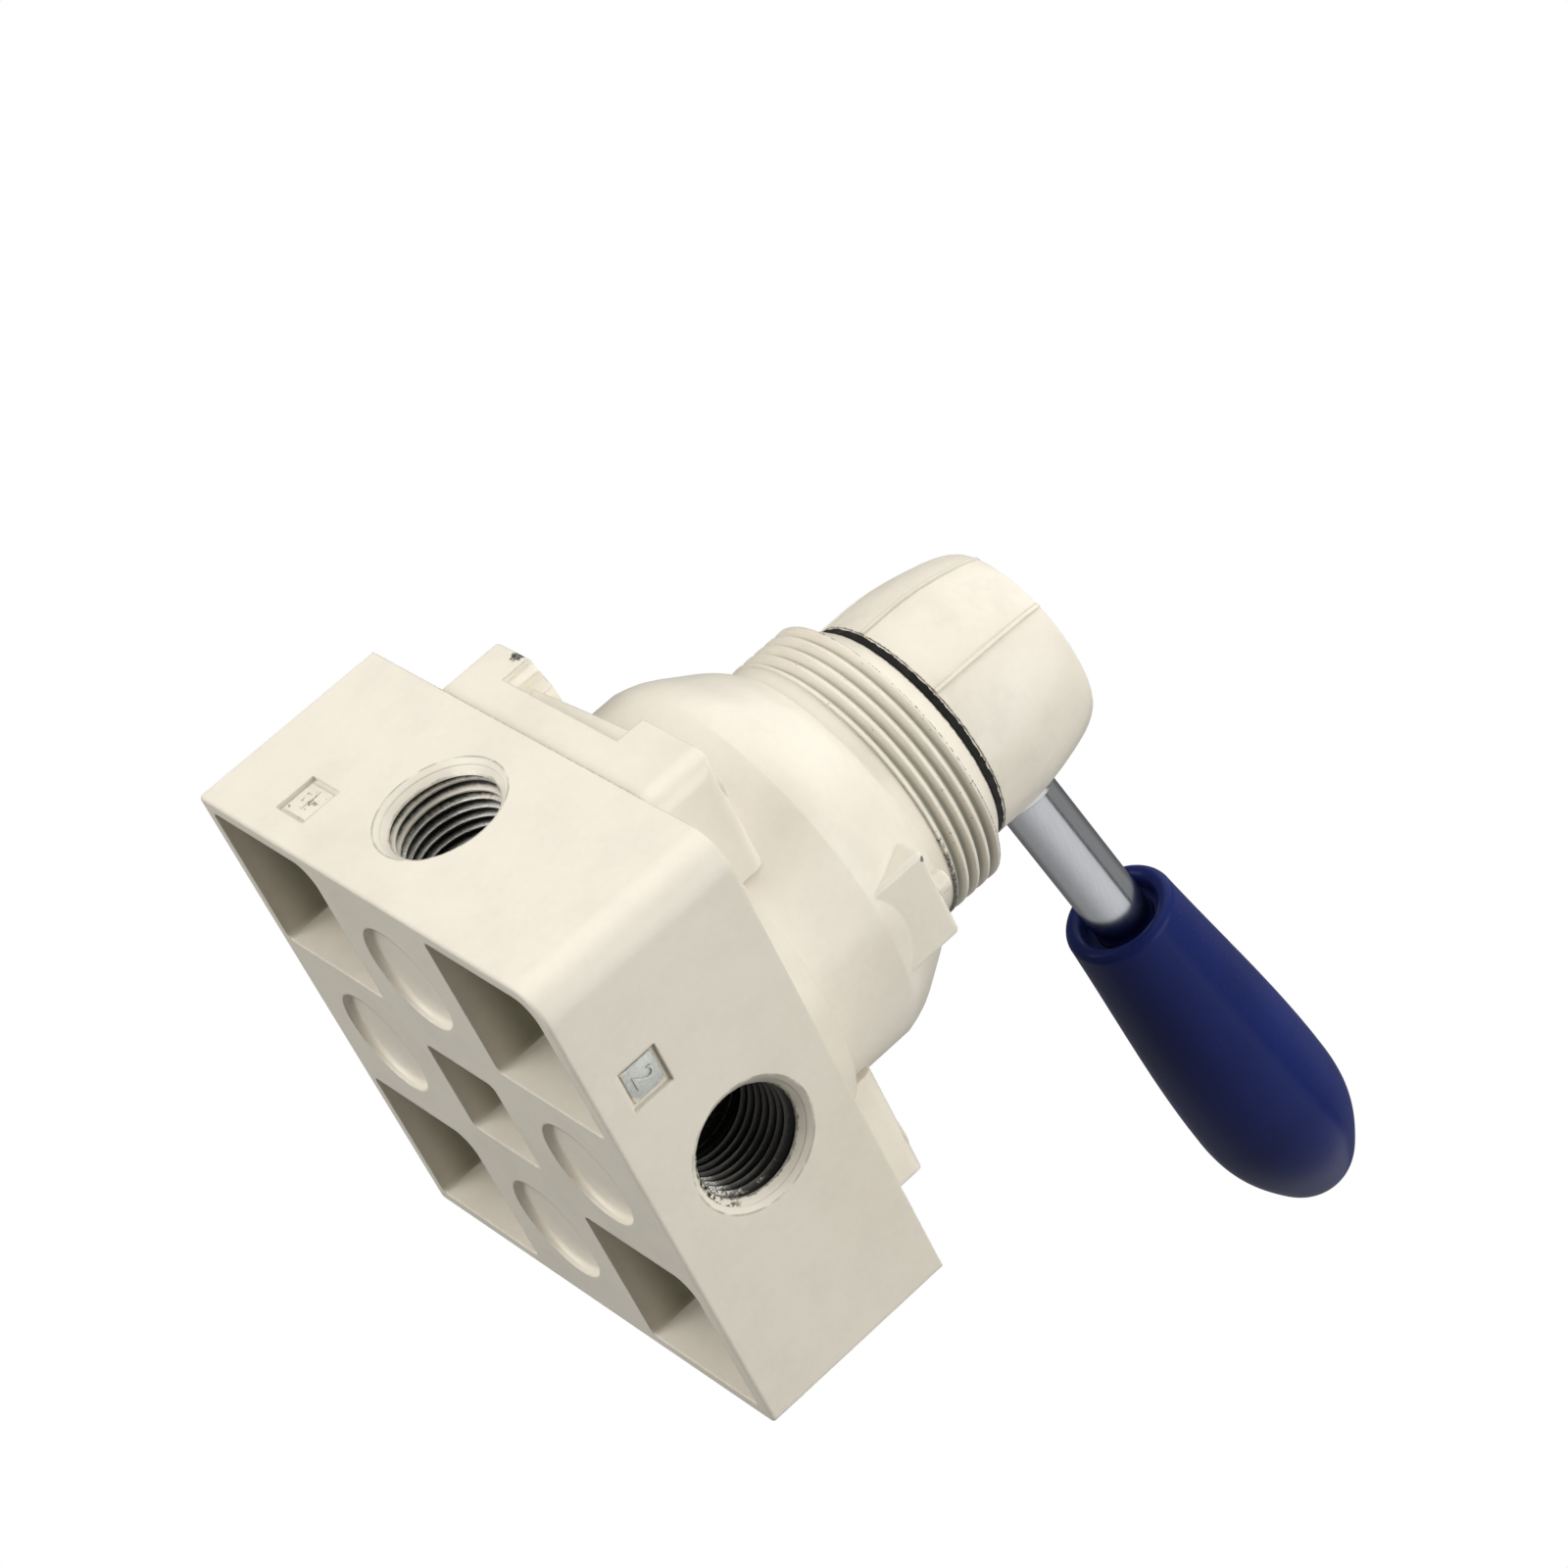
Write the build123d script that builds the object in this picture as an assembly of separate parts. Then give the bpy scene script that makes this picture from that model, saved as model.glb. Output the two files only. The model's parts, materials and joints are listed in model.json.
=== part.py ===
from build123d import *
import math
import os

# All sizes are in millimetres. The frame has its origin at the centre of the base's
# underside, Z up along the spindle and the lever along +Y in its middle position.

# Running and seating clearances
RUN_GAP = 0.05
SEAT_GAP = 0.02
SEAL_GAP = 0.10
FREE_GAP = 0.20

# Base block
BASE_SIDE = 60.0
BASE_HEIGHT = 23.4
BASE_CORNER_R = 0.6
BASE_BIG_CORNER_R = 3.8
BASE_FOOT_R = 0.4
BASE_WALL = 1.66
RIB_WIDTH = 20.7
CORNER_POCKET_ROOF = 8.6
CORNER_POCKET_R = 0.75
CORNER_POCKET_BIG_R = 2.7
CENTRE_POCKET_SIDE = 12.1
CENTRE_POCKET_DEPTH = 13.6
CENTRE_POCKET_R = 0.9
DISH_R = 6.35
DISH_DEPTH = 0.9
DISH_FLOOR_R = 0.6
DISH_PLACE = 18.2

# Ports, one on each side of the base
PORT_HEIGHT = 12.1
PORT_OFFSET_ENDS = 1.9
PORT_OFFSET_SIDES = 1.0
PORT_THREAD_R = 6.58
PORT_THREAD_LENGTH = 12.0
PORT_MOUTH_R = 7.15
PORT_MOUTH_DEPTH = 0.5
PORT_PASSAGE_R = 4.2
MARK_SIDE = 4.9
MARK_DEPTH = 0.5
MARK_FROM_PORT = 15.3
MARK_HEIGHT = 5.8

# Seat plate, its seals and dowels
VALVE_HOLE_R = 3.25
VALVE_HOLE_INSET = 8.5
SEAT_THICKNESS = 3.2
SEAT_SINK = 2.0
SEAL_WIRE_R = 0.8
SEAL_DEPTH = 1.7
DOWEL_R = 1.25
DOWEL_INSET = 2.6
DOWEL_LENGTH = 5.4
DOWEL_ANGLES = (45.0, 225.0)

# Rotor disc
ROTOR_INSET = 0.8
ROTOR_THICKNESS = 5.4
ROTOR_GROOVE_DEPTH = 2.8
ROTOR_GROOVE_HALF_ANGLE = 32.0
TANG_SIDE = 8.0
TANG_LENGTH = 3.2

# Spring that holds the rotor on its seat
DISC_SPRING_HEIGHT = 1.6
DISC_SPRING_THICKNESS = 0.5
DISC_SPRING_IN_R = 6.6
DISC_SPRING_OUT_R = 9.6

# Spindle
SPINDLE_R = 6.0
SPINDLE_FLANGE_THICKNESS = 7.4
SPINDLE_SQUARE = 8.0
SPINDLE_SQUARE_LENGTH = 8.6
SPINDLE_NECK_OVER_COLLAR = 2.0
SPINDLE_SCREW_R = 2.1
SPINDLE_SCREW_DEPTH = 9.0
SHAFT_SEAL_WIRE_R = 0.95
SHAFT_SEAL_STEP = 2.6
SHAFT_SEAL_FIRST = 1.7
SHAFT_BORE_GAP = 0.6
THRUST_WASHER_THICKNESS = 1.1
THRUST_WASHER_R = 11.6

# Detents and stop
LEVER_SWING = 45.0
BALL_R = 2.0
BALL_WALL = 1.8
BALL_LIFT = 0.4
DETENT_BORE_FLOOR = 0.9
DETENT_WIRE_R = 0.25
DETENT_SPRING_TURNS = 3.5
STOP_PIN_R = 1.5
STOP_PIN_INSET = 3.2
STOP_PIN_GRIP = 5.0
STOP_PIN_DIP = 5.2
STOP_SLOT_DEPTH = 6.0
STOP_SLACK_ANGLE = 2.0

# Cover
COVER_RING_R = 24.3
COVER_RING_HEIGHT = 4.5
COVER_RING_STEP = 1.7
COVER_WALL = 3.4
DOME_STRAIGHT_HEIGHT = 14.3
DOME_CREASE_SLOPE = 0.22
DOME_TOP_R = 16.9
DOME_TOP_RISE = 9.9
DOME_TOP_SLOPE = 1.0
# The dome's curve: shares of its way in to the neck, with the rise above its straight wall
DOME_CURVE = ((0.125, 2.4), (0.405, 5.3), (0.78, 8.6))
NECK_R = 16.2
NECK_HEIGHT = 2.05
COLLAR_R = 16.5
COLLAR_PITCH = 1.5
COLLAR_TURNS = 4
COLLAR_CREST = 0.35
COLLAR_ROOT_R = 15.7
COLLAR_LEAD_HEIGHT = 2.5
BLOCK_HALF_LENGTH = 18.3
BLOCK_INSET = 0.7
BLOCK_BACK = 14.5
BLOCK_CORNER_R = 2.4
BLOCK_SLIM_CORNER_R = 0.8
BLOCK_LOW_HEIGHT = 4.5
BLOCK_HIGH_HEIGHT = 8.1
BLOCK_EDGE_R = 0.5
BLOCK_END_R = 1.6
BLOCK_WEB_HEIGHT = 6.5
BLOCK_WEB_SLIM_INSET = 2.8
BLOCK_WEB_WIDE_INSET = 0.55
BLOCK_WEB_THICKNESS = 6.0
WIDE_POST_LENGTH = 10.8
SLIM_POST_LENGTH = 5.9
SCREW_BOSS_R = 4.4
BOSS_FLUTE_R = 1.3
BOSS_FLUTE_PLACE = 5.0
BOSS_FLUTE_ANGLE = -38.0
LUG_INSET = 0.7
LUG_HALF_WIDTH = 5.6
LUG_RISE = 21.65
LUG_EDGE_R = 0.6
LOCATING_PIN_R = 1.2
LOCATING_PIN_INSET = 1.4
LOCATING_PIN_RISE = 1.6
LOCATING_PIN_GRIP = 3.0
LOCATING_PIN_ROUND = 0.4

# Gasket between base and cover
GASKET_WIRE_R = 0.8
GASKET_GROOVE_DEPTH = 1.7

# Cover screws, M4 socket head
SCREW_SHANK_R = 2.0
SCREW_HEAD_R = 3.5
SCREW_HEAD_HEIGHT = 3.9
SCREW_HEAD_SINK = 4.9
SCREW_PLACE_X = 14.1
SCREW_INSET = 4.7
SCREW_GRIP = 6.2
SCREW_SOCKET_SIDE = 3.0
SCREW_SOCKET_DEPTH = 2.0
WASHER_THICKNESS = 0.9

# Bush in the collar
BUSH_R = 8.0
BUSH_LENGTH = 11.5

# Dust ring and hub
DUST_RING_INSET = 0.05
DUST_RING_IN_R = 8.4
DUST_RING_THICKNESS = 0.9
HUB_R = 13.7
HUB_STRAIGHT_HEIGHT = 3.8
HUB_SHOULDER_R = 12.5
HUB_SHOULDER_RISE = 12.1
HUB_TOP_R = 11.1
HUB_TOP_RISE = 15.5
HUB_TOP_SLOPE = 0.8
HUB_HEIGHT = 15.8
HUB_CROWN_R = 9.6
HUB_RECESS_R = 8.6
HUB_RECESS_DEPTH = 4.0
HUB_RIB_WIDTH = 0.5
HUB_RIB_PROUD = 0.25
HUB_RIB_ANGLES = (-135.0, -90.0, -45.0)
HUB_SCREW_HEAD_R = 4.2
HUB_SCREW_HEAD_HEIGHT = 2.6
HUB_SCREW_GRIP = 7.6
HUB_SCREW_CROSS_WIDTH = 0.8
HUB_SCREW_CROSS_DEPTH = 1.3
HUB_SCREW_HOLE_GAP = 0.4
HUB_WASHER_R = 5.2
HUB_WASHER_THICKNESS = 0.8

# Lever rod and grip, measured along the rod from the spindle's axis
ROD_R = 3.5
ROD_TILT = 10.6
ROD_AXIS_HEIGHT = 65.2
ROD_START = 7.4
ROD_LIP_R = 4.8
ROD_LIP_PROUD = 0.7
ROD_CHAMFER = 0.3
GRIP_START = 38.2
GRIP_LENGTH = 52.3
GRIP_NOSE_LENGTH = 16.3
GRIP_RIM_R = 6.55
GRIP_FLARE = 0.07
GRIP_MIDDLE_R = 7.75
GRIP_MIDDLE_SHARE = 0.44
GRIP_MAX_R = 8.8
GRIP_RIM_ROUND = 1.1
GRIP_MOUTH_R = 4.5
GRIP_MOUTH_DEPTH = 2.0
GRIP_THROAT_DEPTH = 5.0
INSERT_WALL = 1.0
INSERT_LENGTH = 20.0

# Radii and places that follow from the sizes above
DOME_R = COVER_RING_R - COVER_RING_STEP
COVER_CAVITY_R = DOME_R - COVER_WALL
SEAT_R = COVER_CAVITY_R - FREE_GAP
VALVE_HOLE_PLACE = SEAT_R - VALVE_HOLE_INSET
DOWEL_PLACE = SEAT_R - DOWEL_INSET
ROTOR_R = SEAT_R - ROTOR_INSET
SPINDLE_FLANGE_R = ROTOR_R + FREE_GAP
SHAFT_BORE_R = SPINDLE_R + SHAFT_BORE_GAP
BALL_PLACE = SPINDLE_FLANGE_R - BALL_WALL - BALL_R
STOP_PIN_PLACE = SPINDLE_FLANGE_R - STOP_PIN_INSET
GASKET_PLACE_R = (COVER_CAVITY_R + COVER_RING_R) / 2
BLOCK_FRONT = BASE_SIDE / 2 - BLOCK_INSET
SCREW_PLACE_Y = BLOCK_FRONT - SCREW_INSET
LUG_FACE = DOME_R - LUG_INSET
LOCATING_PIN_PLACE = LUG_FACE - LOCATING_PIN_INSET
COLLAR_FACE_R = HUB_R
DUST_RING_R = HUB_R - DUST_RING_INSET

# Heights that follow from the sizes above
SEAT_FLOOR_Z = BASE_HEIGHT - SEAT_SINK
SEAT_TOP_Z = SEAT_FLOOR_Z + SEAT_THICKNESS
ROTOR_Z = SEAT_TOP_Z + RUN_GAP
ROTOR_TOP_Z = ROTOR_Z + ROTOR_THICKNESS
FLANGE_Z = ROTOR_TOP_Z + DISC_SPRING_HEIGHT
FLANGE_TOP_Z = FLANGE_Z + SPINDLE_FLANGE_THICKNESS
ROOF_Z = FLANGE_TOP_Z + THRUST_WASHER_THICKNESS + RUN_GAP
NECK_Z = BASE_HEIGHT + DOME_STRAIGHT_HEIGHT + DOME_TOP_RISE
THREAD_Z = NECK_Z + NECK_HEIGHT
THREAD_TOP_Z = THREAD_Z + COLLAR_TURNS * COLLAR_PITCH + COLLAR_CREST
COLLAR_TOP_Z = THREAD_TOP_Z + COLLAR_LEAD_HEIGHT
BUSH_Z = COLLAR_TOP_Z - BUSH_LENGTH
HUB_Z = COLLAR_TOP_Z + SEAL_GAP + DUST_RING_THICKNESS
SPINDLE_SHOULDER_Z = COLLAR_TOP_Z + SPINDLE_NECK_OVER_COLLAR
SPINDLE_TOP_Z = SPINDLE_SHOULDER_Z + SPINDLE_SQUARE_LENGTH
HUB_RECESS_Z = HUB_Z + HUB_HEIGHT - HUB_RECESS_DEPTH
HUB_WASHER_Z = HUB_RECESS_Z + SEAT_GAP
HUB_SCREW_HEAD_Z = HUB_WASHER_Z + HUB_WASHER_THICKNESS + SEAT_GAP
BLOCK_TOP_Z = BASE_HEIGHT + BLOCK_HIGH_HEIGHT
SCREW_SEAT_Z = BLOCK_TOP_Z - SCREW_HEAD_SINK
LUG_TOP_Z = BASE_HEIGHT + LUG_RISE
BALL_Z = ROOF_Z - RUN_GAP - BALL_R
DETENT_BORE_Z = FLANGE_Z + DETENT_BORE_FLOOR

BOTTOM = (Align.CENTER, Align.CENTER, Align.MIN)
TOP = (Align.CENTER, Align.CENTER, Align.MAX)
SCREW_PLACES = [
    (x, y) for x in (-SCREW_PLACE_X, SCREW_PLACE_X) for y in (-SCREW_PLACE_Y, SCREW_PLACE_Y)
]
SIDES = (0.0, 90.0, 180.0, 270.0)


def rod_cylinder(radius, height, z=0.0):
    """A cylinder on the Z axis that starts at z."""
    return Pos(0, 0, z) * Cylinder(radius, height, align=BOTTOM)


def washer(outer_r, inner_r, thickness, z=0.0):
    """A flat ring on the Z axis that starts at z."""
    return rod_cylinder(outer_r, thickness, z) - rod_cylinder(inner_r, thickness, z)


def turned(*edges):
    """A solid of revolution about Z from edges drawn as radius and height."""
    return revolve(Plane.XZ * make_face(edges), Axis.Z)


def on_rod(piece):
    """Lay a piece drawn along Z onto the lever rod's axis."""
    return Pos(0, 0, ROD_AXIS_HEIGHT) * Rot(ROD_TILT - 90.0, 0, 0) * piece


def around(piece, angles=SIDES):
    """Copies of a piece turned about Z."""
    return [Rot(0, 0, angle) * piece for angle in angles]


def port_offset(side):
    """Sideways place of a side's port, seen from outside."""
    return PORT_OFFSET_SIDES if side in (90.0, 270.0) else -PORT_OFFSET_ENDS


def corner_pocket(x_side, y_side):
    """One open pocket of the underside, in the quarter with these signs of x and y."""
    inner = RIB_WIDTH / 2
    outer = BASE_SIDE / 2 - BASE_WALL
    side = outer - inner
    middle = (inner + outer) / 2
    return Pos(x_side * middle, y_side * middle) * Rectangle(side, side)


def rounded_square(outline, big_r, small_r):
    """Round a square's corners, with the big one towards +X and -Y."""
    corners = outline.vertices().sort_by(lambda v: v.X - v.Y)
    outline = fillet(corners[-1], big_r)
    small = outline.vertices().sort_by(lambda v: v.X - v.Y)[:3]
    return fillet(small, small_r)


def port_cut(side):
    """Countersink, threaded bore and passage of the port on one side, drawn on -Y."""
    face = BASE_SIDE / 2
    mouth = Cone(PORT_MOUTH_R, PORT_THREAD_R, PORT_MOUTH_DEPTH, align=BOTTOM)
    bore = Cylinder(PORT_THREAD_R, PORT_MOUTH_DEPTH + PORT_THREAD_LENGTH, align=BOTTOM)
    reach = face - VALVE_HOLE_PLACE + VALVE_HOLE_R / 2
    passage = Cylinder(PORT_PASSAGE_R, reach, align=BOTTOM)
    cut = mouth + bore + passage
    place = Pos(port_offset(side), -face, PORT_HEIGHT) * Rot(-90, 0, 0)
    riser = Pos(0, -VALVE_HOLE_PLACE, PORT_HEIGHT) * Cylinder(
        VALVE_HOLE_R, BASE_HEIGHT - PORT_HEIGHT, align=BOTTOM
    )
    return Rot(0, 0, side) * (place * cut + riser)


def mark_cut(side):
    """Shallow square for the port's number, beside the port, drawn on -Y."""
    sideways = port_offset(side) - MARK_FROM_PORT
    mark = Box(MARK_SIDE, 2 * MARK_DEPTH, MARK_SIDE)
    return Rot(0, 0, side) * (Pos(sideways, -BASE_SIDE / 2, MARK_HEIGHT) * mark)


def dish():
    """Round shallow dish in a rib's underside."""
    cut = rod_cylinder(DISH_R, DISH_DEPTH)
    cut = fillet(cut.edges().group_by(Axis.Z)[-1], DISH_FLOOR_R)
    return Pos(DISH_PLACE, 0, 0) * cut


def base_body():
    """Cast port block with its pockets, ports and seat recess."""
    square = Rectangle(BASE_SIDE, BASE_SIDE)
    outline = rounded_square(square, BASE_BIG_CORNER_R, BASE_CORNER_R)
    body = extrude(outline, BASE_HEIGHT)
    body = fillet(body.edges().group_by(Axis.Z)[0], BASE_FOOT_R)
    for x_side in (-1, 1):
        for y_side in (-1, 1):
            opening = corner_pocket(x_side, y_side)
            pocket = rounded_square(opening, CORNER_POCKET_BIG_R, CORNER_POCKET_R)
            body -= extrude(pocket, BASE_HEIGHT - CORNER_POCKET_ROOF)
    centre = RectangleRounded(CENTRE_POCKET_SIDE, CENTRE_POCKET_SIDE, CENTRE_POCKET_R)
    body -= extrude(centre, CENTRE_POCKET_DEPTH)
    for cut in around(dish()):
        body -= cut
    for side in SIDES:
        body -= port_cut(side)
        body -= mark_cut(side)
    body -= rod_cylinder(SEAT_R + RUN_GAP, SEAT_SINK, SEAT_FLOOR_Z)
    seal_room = Pos(VALVE_HOLE_PLACE, 0, 0) * rod_cylinder(
        VALVE_HOLE_R + 2 * SEAL_WIRE_R + SEAL_GAP, SEAL_DEPTH, SEAT_FLOOR_Z - SEAL_DEPTH
    )
    for cut in around(seal_room):
        body -= cut
    dowel_hole = Pos(DOWEL_PLACE, 0, 0) * rod_cylinder(
        DOWEL_R + SEAT_GAP, DOWEL_LENGTH, BASE_HEIGHT - DOWEL_LENGTH
    )
    for cut in around(dowel_hole, DOWEL_ANGLES):
        body -= cut
    groove_half = GASKET_WIRE_R + SEAL_GAP
    body -= washer(
        GASKET_PLACE_R + groove_half,
        GASKET_PLACE_R - groove_half,
        GASKET_GROOVE_DEPTH,
        BASE_HEIGHT - GASKET_GROOVE_DEPTH,
    )
    for x, y in SCREW_PLACES:
        body -= Pos(x, y, 0) * rod_cylinder(
            SCREW_SHANK_R + SEAT_GAP, SCREW_GRIP + SEAL_GAP, BASE_HEIGHT - SCREW_GRIP - SEAL_GAP
        )
    return body


def port_seals():
    """Four rubber rings that close the joint from the base to the seat plate."""
    seal = Torus(VALVE_HOLE_R + SEAL_WIRE_R, SEAL_WIRE_R)
    return around(Pos(VALVE_HOLE_PLACE, 0, SEAT_FLOOR_Z - SEAL_DEPTH / 2) * seal)


def seat_plate():
    """Lapped seat with the four valve holes."""
    plate = rod_cylinder(SEAT_R, SEAT_THICKNESS, SEAT_FLOOR_Z)
    hole = Pos(VALVE_HOLE_PLACE, 0, 0) * rod_cylinder(
        VALVE_HOLE_R, SEAT_THICKNESS, SEAT_FLOOR_Z
    )
    for cut in around(hole):
        plate -= cut
    dowel_hole = Pos(DOWEL_PLACE, 0, 0) * rod_cylinder(
        DOWEL_R + SEAT_GAP, SEAT_SINK, SEAT_FLOOR_Z
    )
    for cut in around(dowel_hole, DOWEL_ANGLES):
        plate -= cut
    return plate


def seat_dowels():
    """Two pins that keep the seat plate from turning."""
    z = BASE_HEIGHT - DOWEL_LENGTH + SEAT_GAP
    pin = Pos(DOWEL_PLACE, 0, 0) * rod_cylinder(DOWEL_R, DOWEL_LENGTH - 2 * SEAT_GAP, z)
    return around(pin, DOWEL_ANGLES)


def rotor_groove(depth):
    """Kidney groove that joins two neighbouring valve holes at the end of a swing."""
    half = ROTOR_GROOVE_HALF_ANGLE
    arc = CenterArc((0, 0), VALVE_HOLE_PLACE, -half, 2 * half)
    start = arc @ 0
    section = Plane(origin=start, z_dir=arc % 0) * Rectangle(2 * VALVE_HOLE_R, 2 * depth)
    groove = sweep(section, path=arc)
    for end in (arc @ 0, arc @ 1):
        groove += Pos(end.X, end.Y, 0) * Cylinder(VALVE_HOLE_R, 2 * depth)
    return groove


def rotor_disc():
    """Valve disc that turns on the seat and joins the ports in pairs."""
    disc = rod_cylinder(ROTOR_R, ROTOR_THICKNESS, ROTOR_Z)
    groove = Pos(0, 0, ROTOR_Z) * rotor_groove(ROTOR_GROOVE_DEPTH)
    for cut in around(groove, (0.0, 180.0)):
        disc -= cut
    socket = TANG_SIDE + 2 * RUN_GAP
    depth = TANG_LENGTH - DISC_SPRING_HEIGHT + SEAL_GAP
    disc -= Pos(0, 0, ROTOR_TOP_Z) * Box(socket, socket, depth, align=TOP)
    return disc


def disc_spring():
    """Coned spring washer between the rotor and the spindle's flange."""
    low = ROTOR_TOP_Z + SEAT_GAP
    high = FLANGE_Z - SEAT_GAP
    profile = Polyline(
        (DISC_SPRING_IN_R, high - DISC_SPRING_THICKNESS),
        (DISC_SPRING_OUT_R, low),
        (DISC_SPRING_OUT_R, low + DISC_SPRING_THICKNESS),
        (DISC_SPRING_IN_R, high),
        close=True,
    )
    return turned(profile)


def stop_slot():
    """Arc slot in the flange's top that the stop pin runs in."""
    half = LEVER_SWING + STOP_SLACK_ANGLE
    arc = CenterArc((0, 0), STOP_PIN_PLACE, 90.0 - half, 2 * half)
    width = 2 * (STOP_PIN_R + FREE_GAP)
    section = Plane(origin=arc @ 0, z_dir=arc % 0) * Rectangle(width, 2 * STOP_SLOT_DEPTH)
    slot = sweep(section, path=arc)
    for end in (arc @ 0, arc @ 1):
        slot += Pos(end.X, end.Y, 0) * Cylinder(width / 2, 2 * STOP_SLOT_DEPTH)
    return Pos(0, 0, FLANGE_TOP_Z) * slot


def shaft_seal_heights():
    """Heights of the two shaft seals."""
    first = ROOF_Z + SHAFT_SEAL_FIRST
    return (first, first + SHAFT_SEAL_STEP)


def spindle():
    """Turned spindle with tang, detent flange, seal grooves and driving square."""
    tang = Pos(0, 0, FLANGE_Z) * Box(TANG_SIDE, TANG_SIDE, TANG_LENGTH, align=TOP)
    flange = rod_cylinder(SPINDLE_FLANGE_R, SPINDLE_FLANGE_THICKNESS, FLANGE_Z)
    stem = rod_cylinder(SPINDLE_R, SPINDLE_SHOULDER_Z - FLANGE_TOP_Z, FLANGE_TOP_Z)
    square = Pos(0, 0, SPINDLE_SHOULDER_Z) * Box(
        SPINDLE_SQUARE, SPINDLE_SQUARE, SPINDLE_SQUARE_LENGTH, align=BOTTOM
    )
    body = tang + flange + stem + square
    groove_floor = SHAFT_BORE_R - 2 * SHAFT_SEAL_WIRE_R - 2 * SEAL_GAP
    groove_height = 2 * SHAFT_SEAL_WIRE_R + SEAL_GAP
    for z in shaft_seal_heights():
        body -= washer(SHAFT_BORE_R, groove_floor, groove_height, z - groove_height / 2)
    bore = Pos(BALL_PLACE, 0, 0) * rod_cylinder(
        BALL_R + RUN_GAP, FLANGE_TOP_Z - DETENT_BORE_Z, DETENT_BORE_Z
    )
    for cut in around(bore, (0.0, 180.0)):
        body -= cut
    body -= stop_slot()
    body -= rod_cylinder(SPINDLE_SCREW_R, SPINDLE_SCREW_DEPTH, SPINDLE_TOP_Z - SPINDLE_SCREW_DEPTH)
    return body


def shaft_seals():
    """Two rubber rings in the spindle's grooves."""
    place = SHAFT_BORE_R - SHAFT_SEAL_WIRE_R - SEAL_GAP
    return [Pos(0, 0, z) * Torus(place, SHAFT_SEAL_WIRE_R) for z in shaft_seal_heights()]


def thrust_washer():
    """Low-friction washer between the spindle's flange and the cover's roof."""
    thickness = THRUST_WASHER_THICKNESS - SEAT_GAP
    return washer(THRUST_WASHER_R, SPINDLE_R + SEAL_GAP, thickness, FLANGE_TOP_Z + SEAT_GAP)


def detent_ball(angle):
    """Steel ball in the flange, just under the cover's roof."""
    return Rot(0, 0, angle) * (Pos(BALL_PLACE, 0, BALL_Z) * Sphere(BALL_R))


def detent_spring(angle):
    """Coil spring under a detent ball."""
    coil_r = BALL_R - DETENT_WIRE_R - SEAL_GAP
    low = DETENT_BORE_Z + DETENT_WIRE_R + SEAT_GAP
    ball_contact = BALL_Z - math.sqrt((BALL_R + DETENT_WIRE_R + SEAL_GAP) ** 2 - coil_r**2)
    height = ball_contact - low
    path = Helix(height / DETENT_SPRING_TURNS, height, coil_r)
    section = Plane(origin=path @ 0, z_dir=path % 0) * Circle(DETENT_WIRE_R)
    coil = sweep(section, path=path)
    return Rot(0, 0, angle) * (Pos(BALL_PLACE, 0, low) * coil)


def stop_pin():
    """Pin pressed into the cover's roof that ends the lever's swing."""
    pin = rod_cylinder(STOP_PIN_R, STOP_PIN_DIP + STOP_PIN_GRIP - SEAT_GAP, ROOF_Z - STOP_PIN_DIP)
    return Pos(0, STOP_PIN_PLACE, 0) * pin


def cover_outline():
    """Outside of the cover as a solid of revolution."""
    shoulder_z = BASE_HEIGHT + DOME_STRAIGHT_HEIGHT
    wall = Polyline(
        (0, BASE_HEIGHT),
        (COVER_RING_R, BASE_HEIGHT),
        (COVER_RING_R, BASE_HEIGHT + COVER_RING_HEIGHT),
        (DOME_R, BASE_HEIGHT + COVER_RING_HEIGHT),
        (DOME_R, shoulder_z),
    )
    way_in = DOME_R - DOME_TOP_R
    curve = [(DOME_R - share * way_in, shoulder_z + rise) for share, rise in DOME_CURVE]
    dome = Spline(
        (DOME_R, shoulder_z),
        *curve,
        (DOME_TOP_R, NECK_Z),
        tangents=[(-DOME_CREASE_SLOPE, 1), (-1, DOME_TOP_SLOPE)],
    )
    crest = COLLAR_CREST / 2
    points = [(DOME_TOP_R, NECK_Z), (NECK_R, NECK_Z), (NECK_R, THREAD_Z)]
    for turn in range(COLLAR_TURNS + 1):
        z = THREAD_Z + crest + turn * COLLAR_PITCH
        points += [(COLLAR_R, z - crest), (COLLAR_R, z + crest)]
        if turn < COLLAR_TURNS:
            points.append((COLLAR_ROOT_R, z + COLLAR_PITCH / 2))
    points += [(NECK_R, THREAD_TOP_Z), (COLLAR_FACE_R, COLLAR_TOP_Z), (0, COLLAR_TOP_Z)]
    points.append((0, BASE_HEIGHT))
    return turned(wall, dome, Polyline(*points))


def block_post(outline, sharp_side):
    """A post of a screw block, rounded along its top, less the edge on its sharp side."""
    post = extrude(outline, BLOCK_HIGH_HEIGHT)
    rim = post.edges().group_by(Axis.Z)[-1].sort_by(Axis.X)
    rim = rim[:-1] if sharp_side == "right" else rim[1:]
    return fillet(rim, BLOCK_EDGE_R)


def block_web():
    """Lower wall behind the bridge that runs slanting from the slim post to the wide one."""
    slim_x = -SCREW_PLACE_X
    slim_y = BLOCK_WEB_SLIM_INSET - BLOCK_FRONT
    wide_x = BLOCK_HALF_LENGTH - WIDE_POST_LENGTH + BLOCK_EDGE_R
    wide_y = BLOCK_WEB_WIDE_INSET - BLOCK_FRONT
    outline = Polyline(
        (slim_x, slim_y),
        (wide_x, wide_y),
        (wide_x, wide_y + BLOCK_WEB_THICKNESS),
        (slim_x, slim_y + BLOCK_WEB_THICKNESS),
        close=True,
    )
    return extrude(make_face(outline), BLOCK_WEB_HEIGHT)


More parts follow.
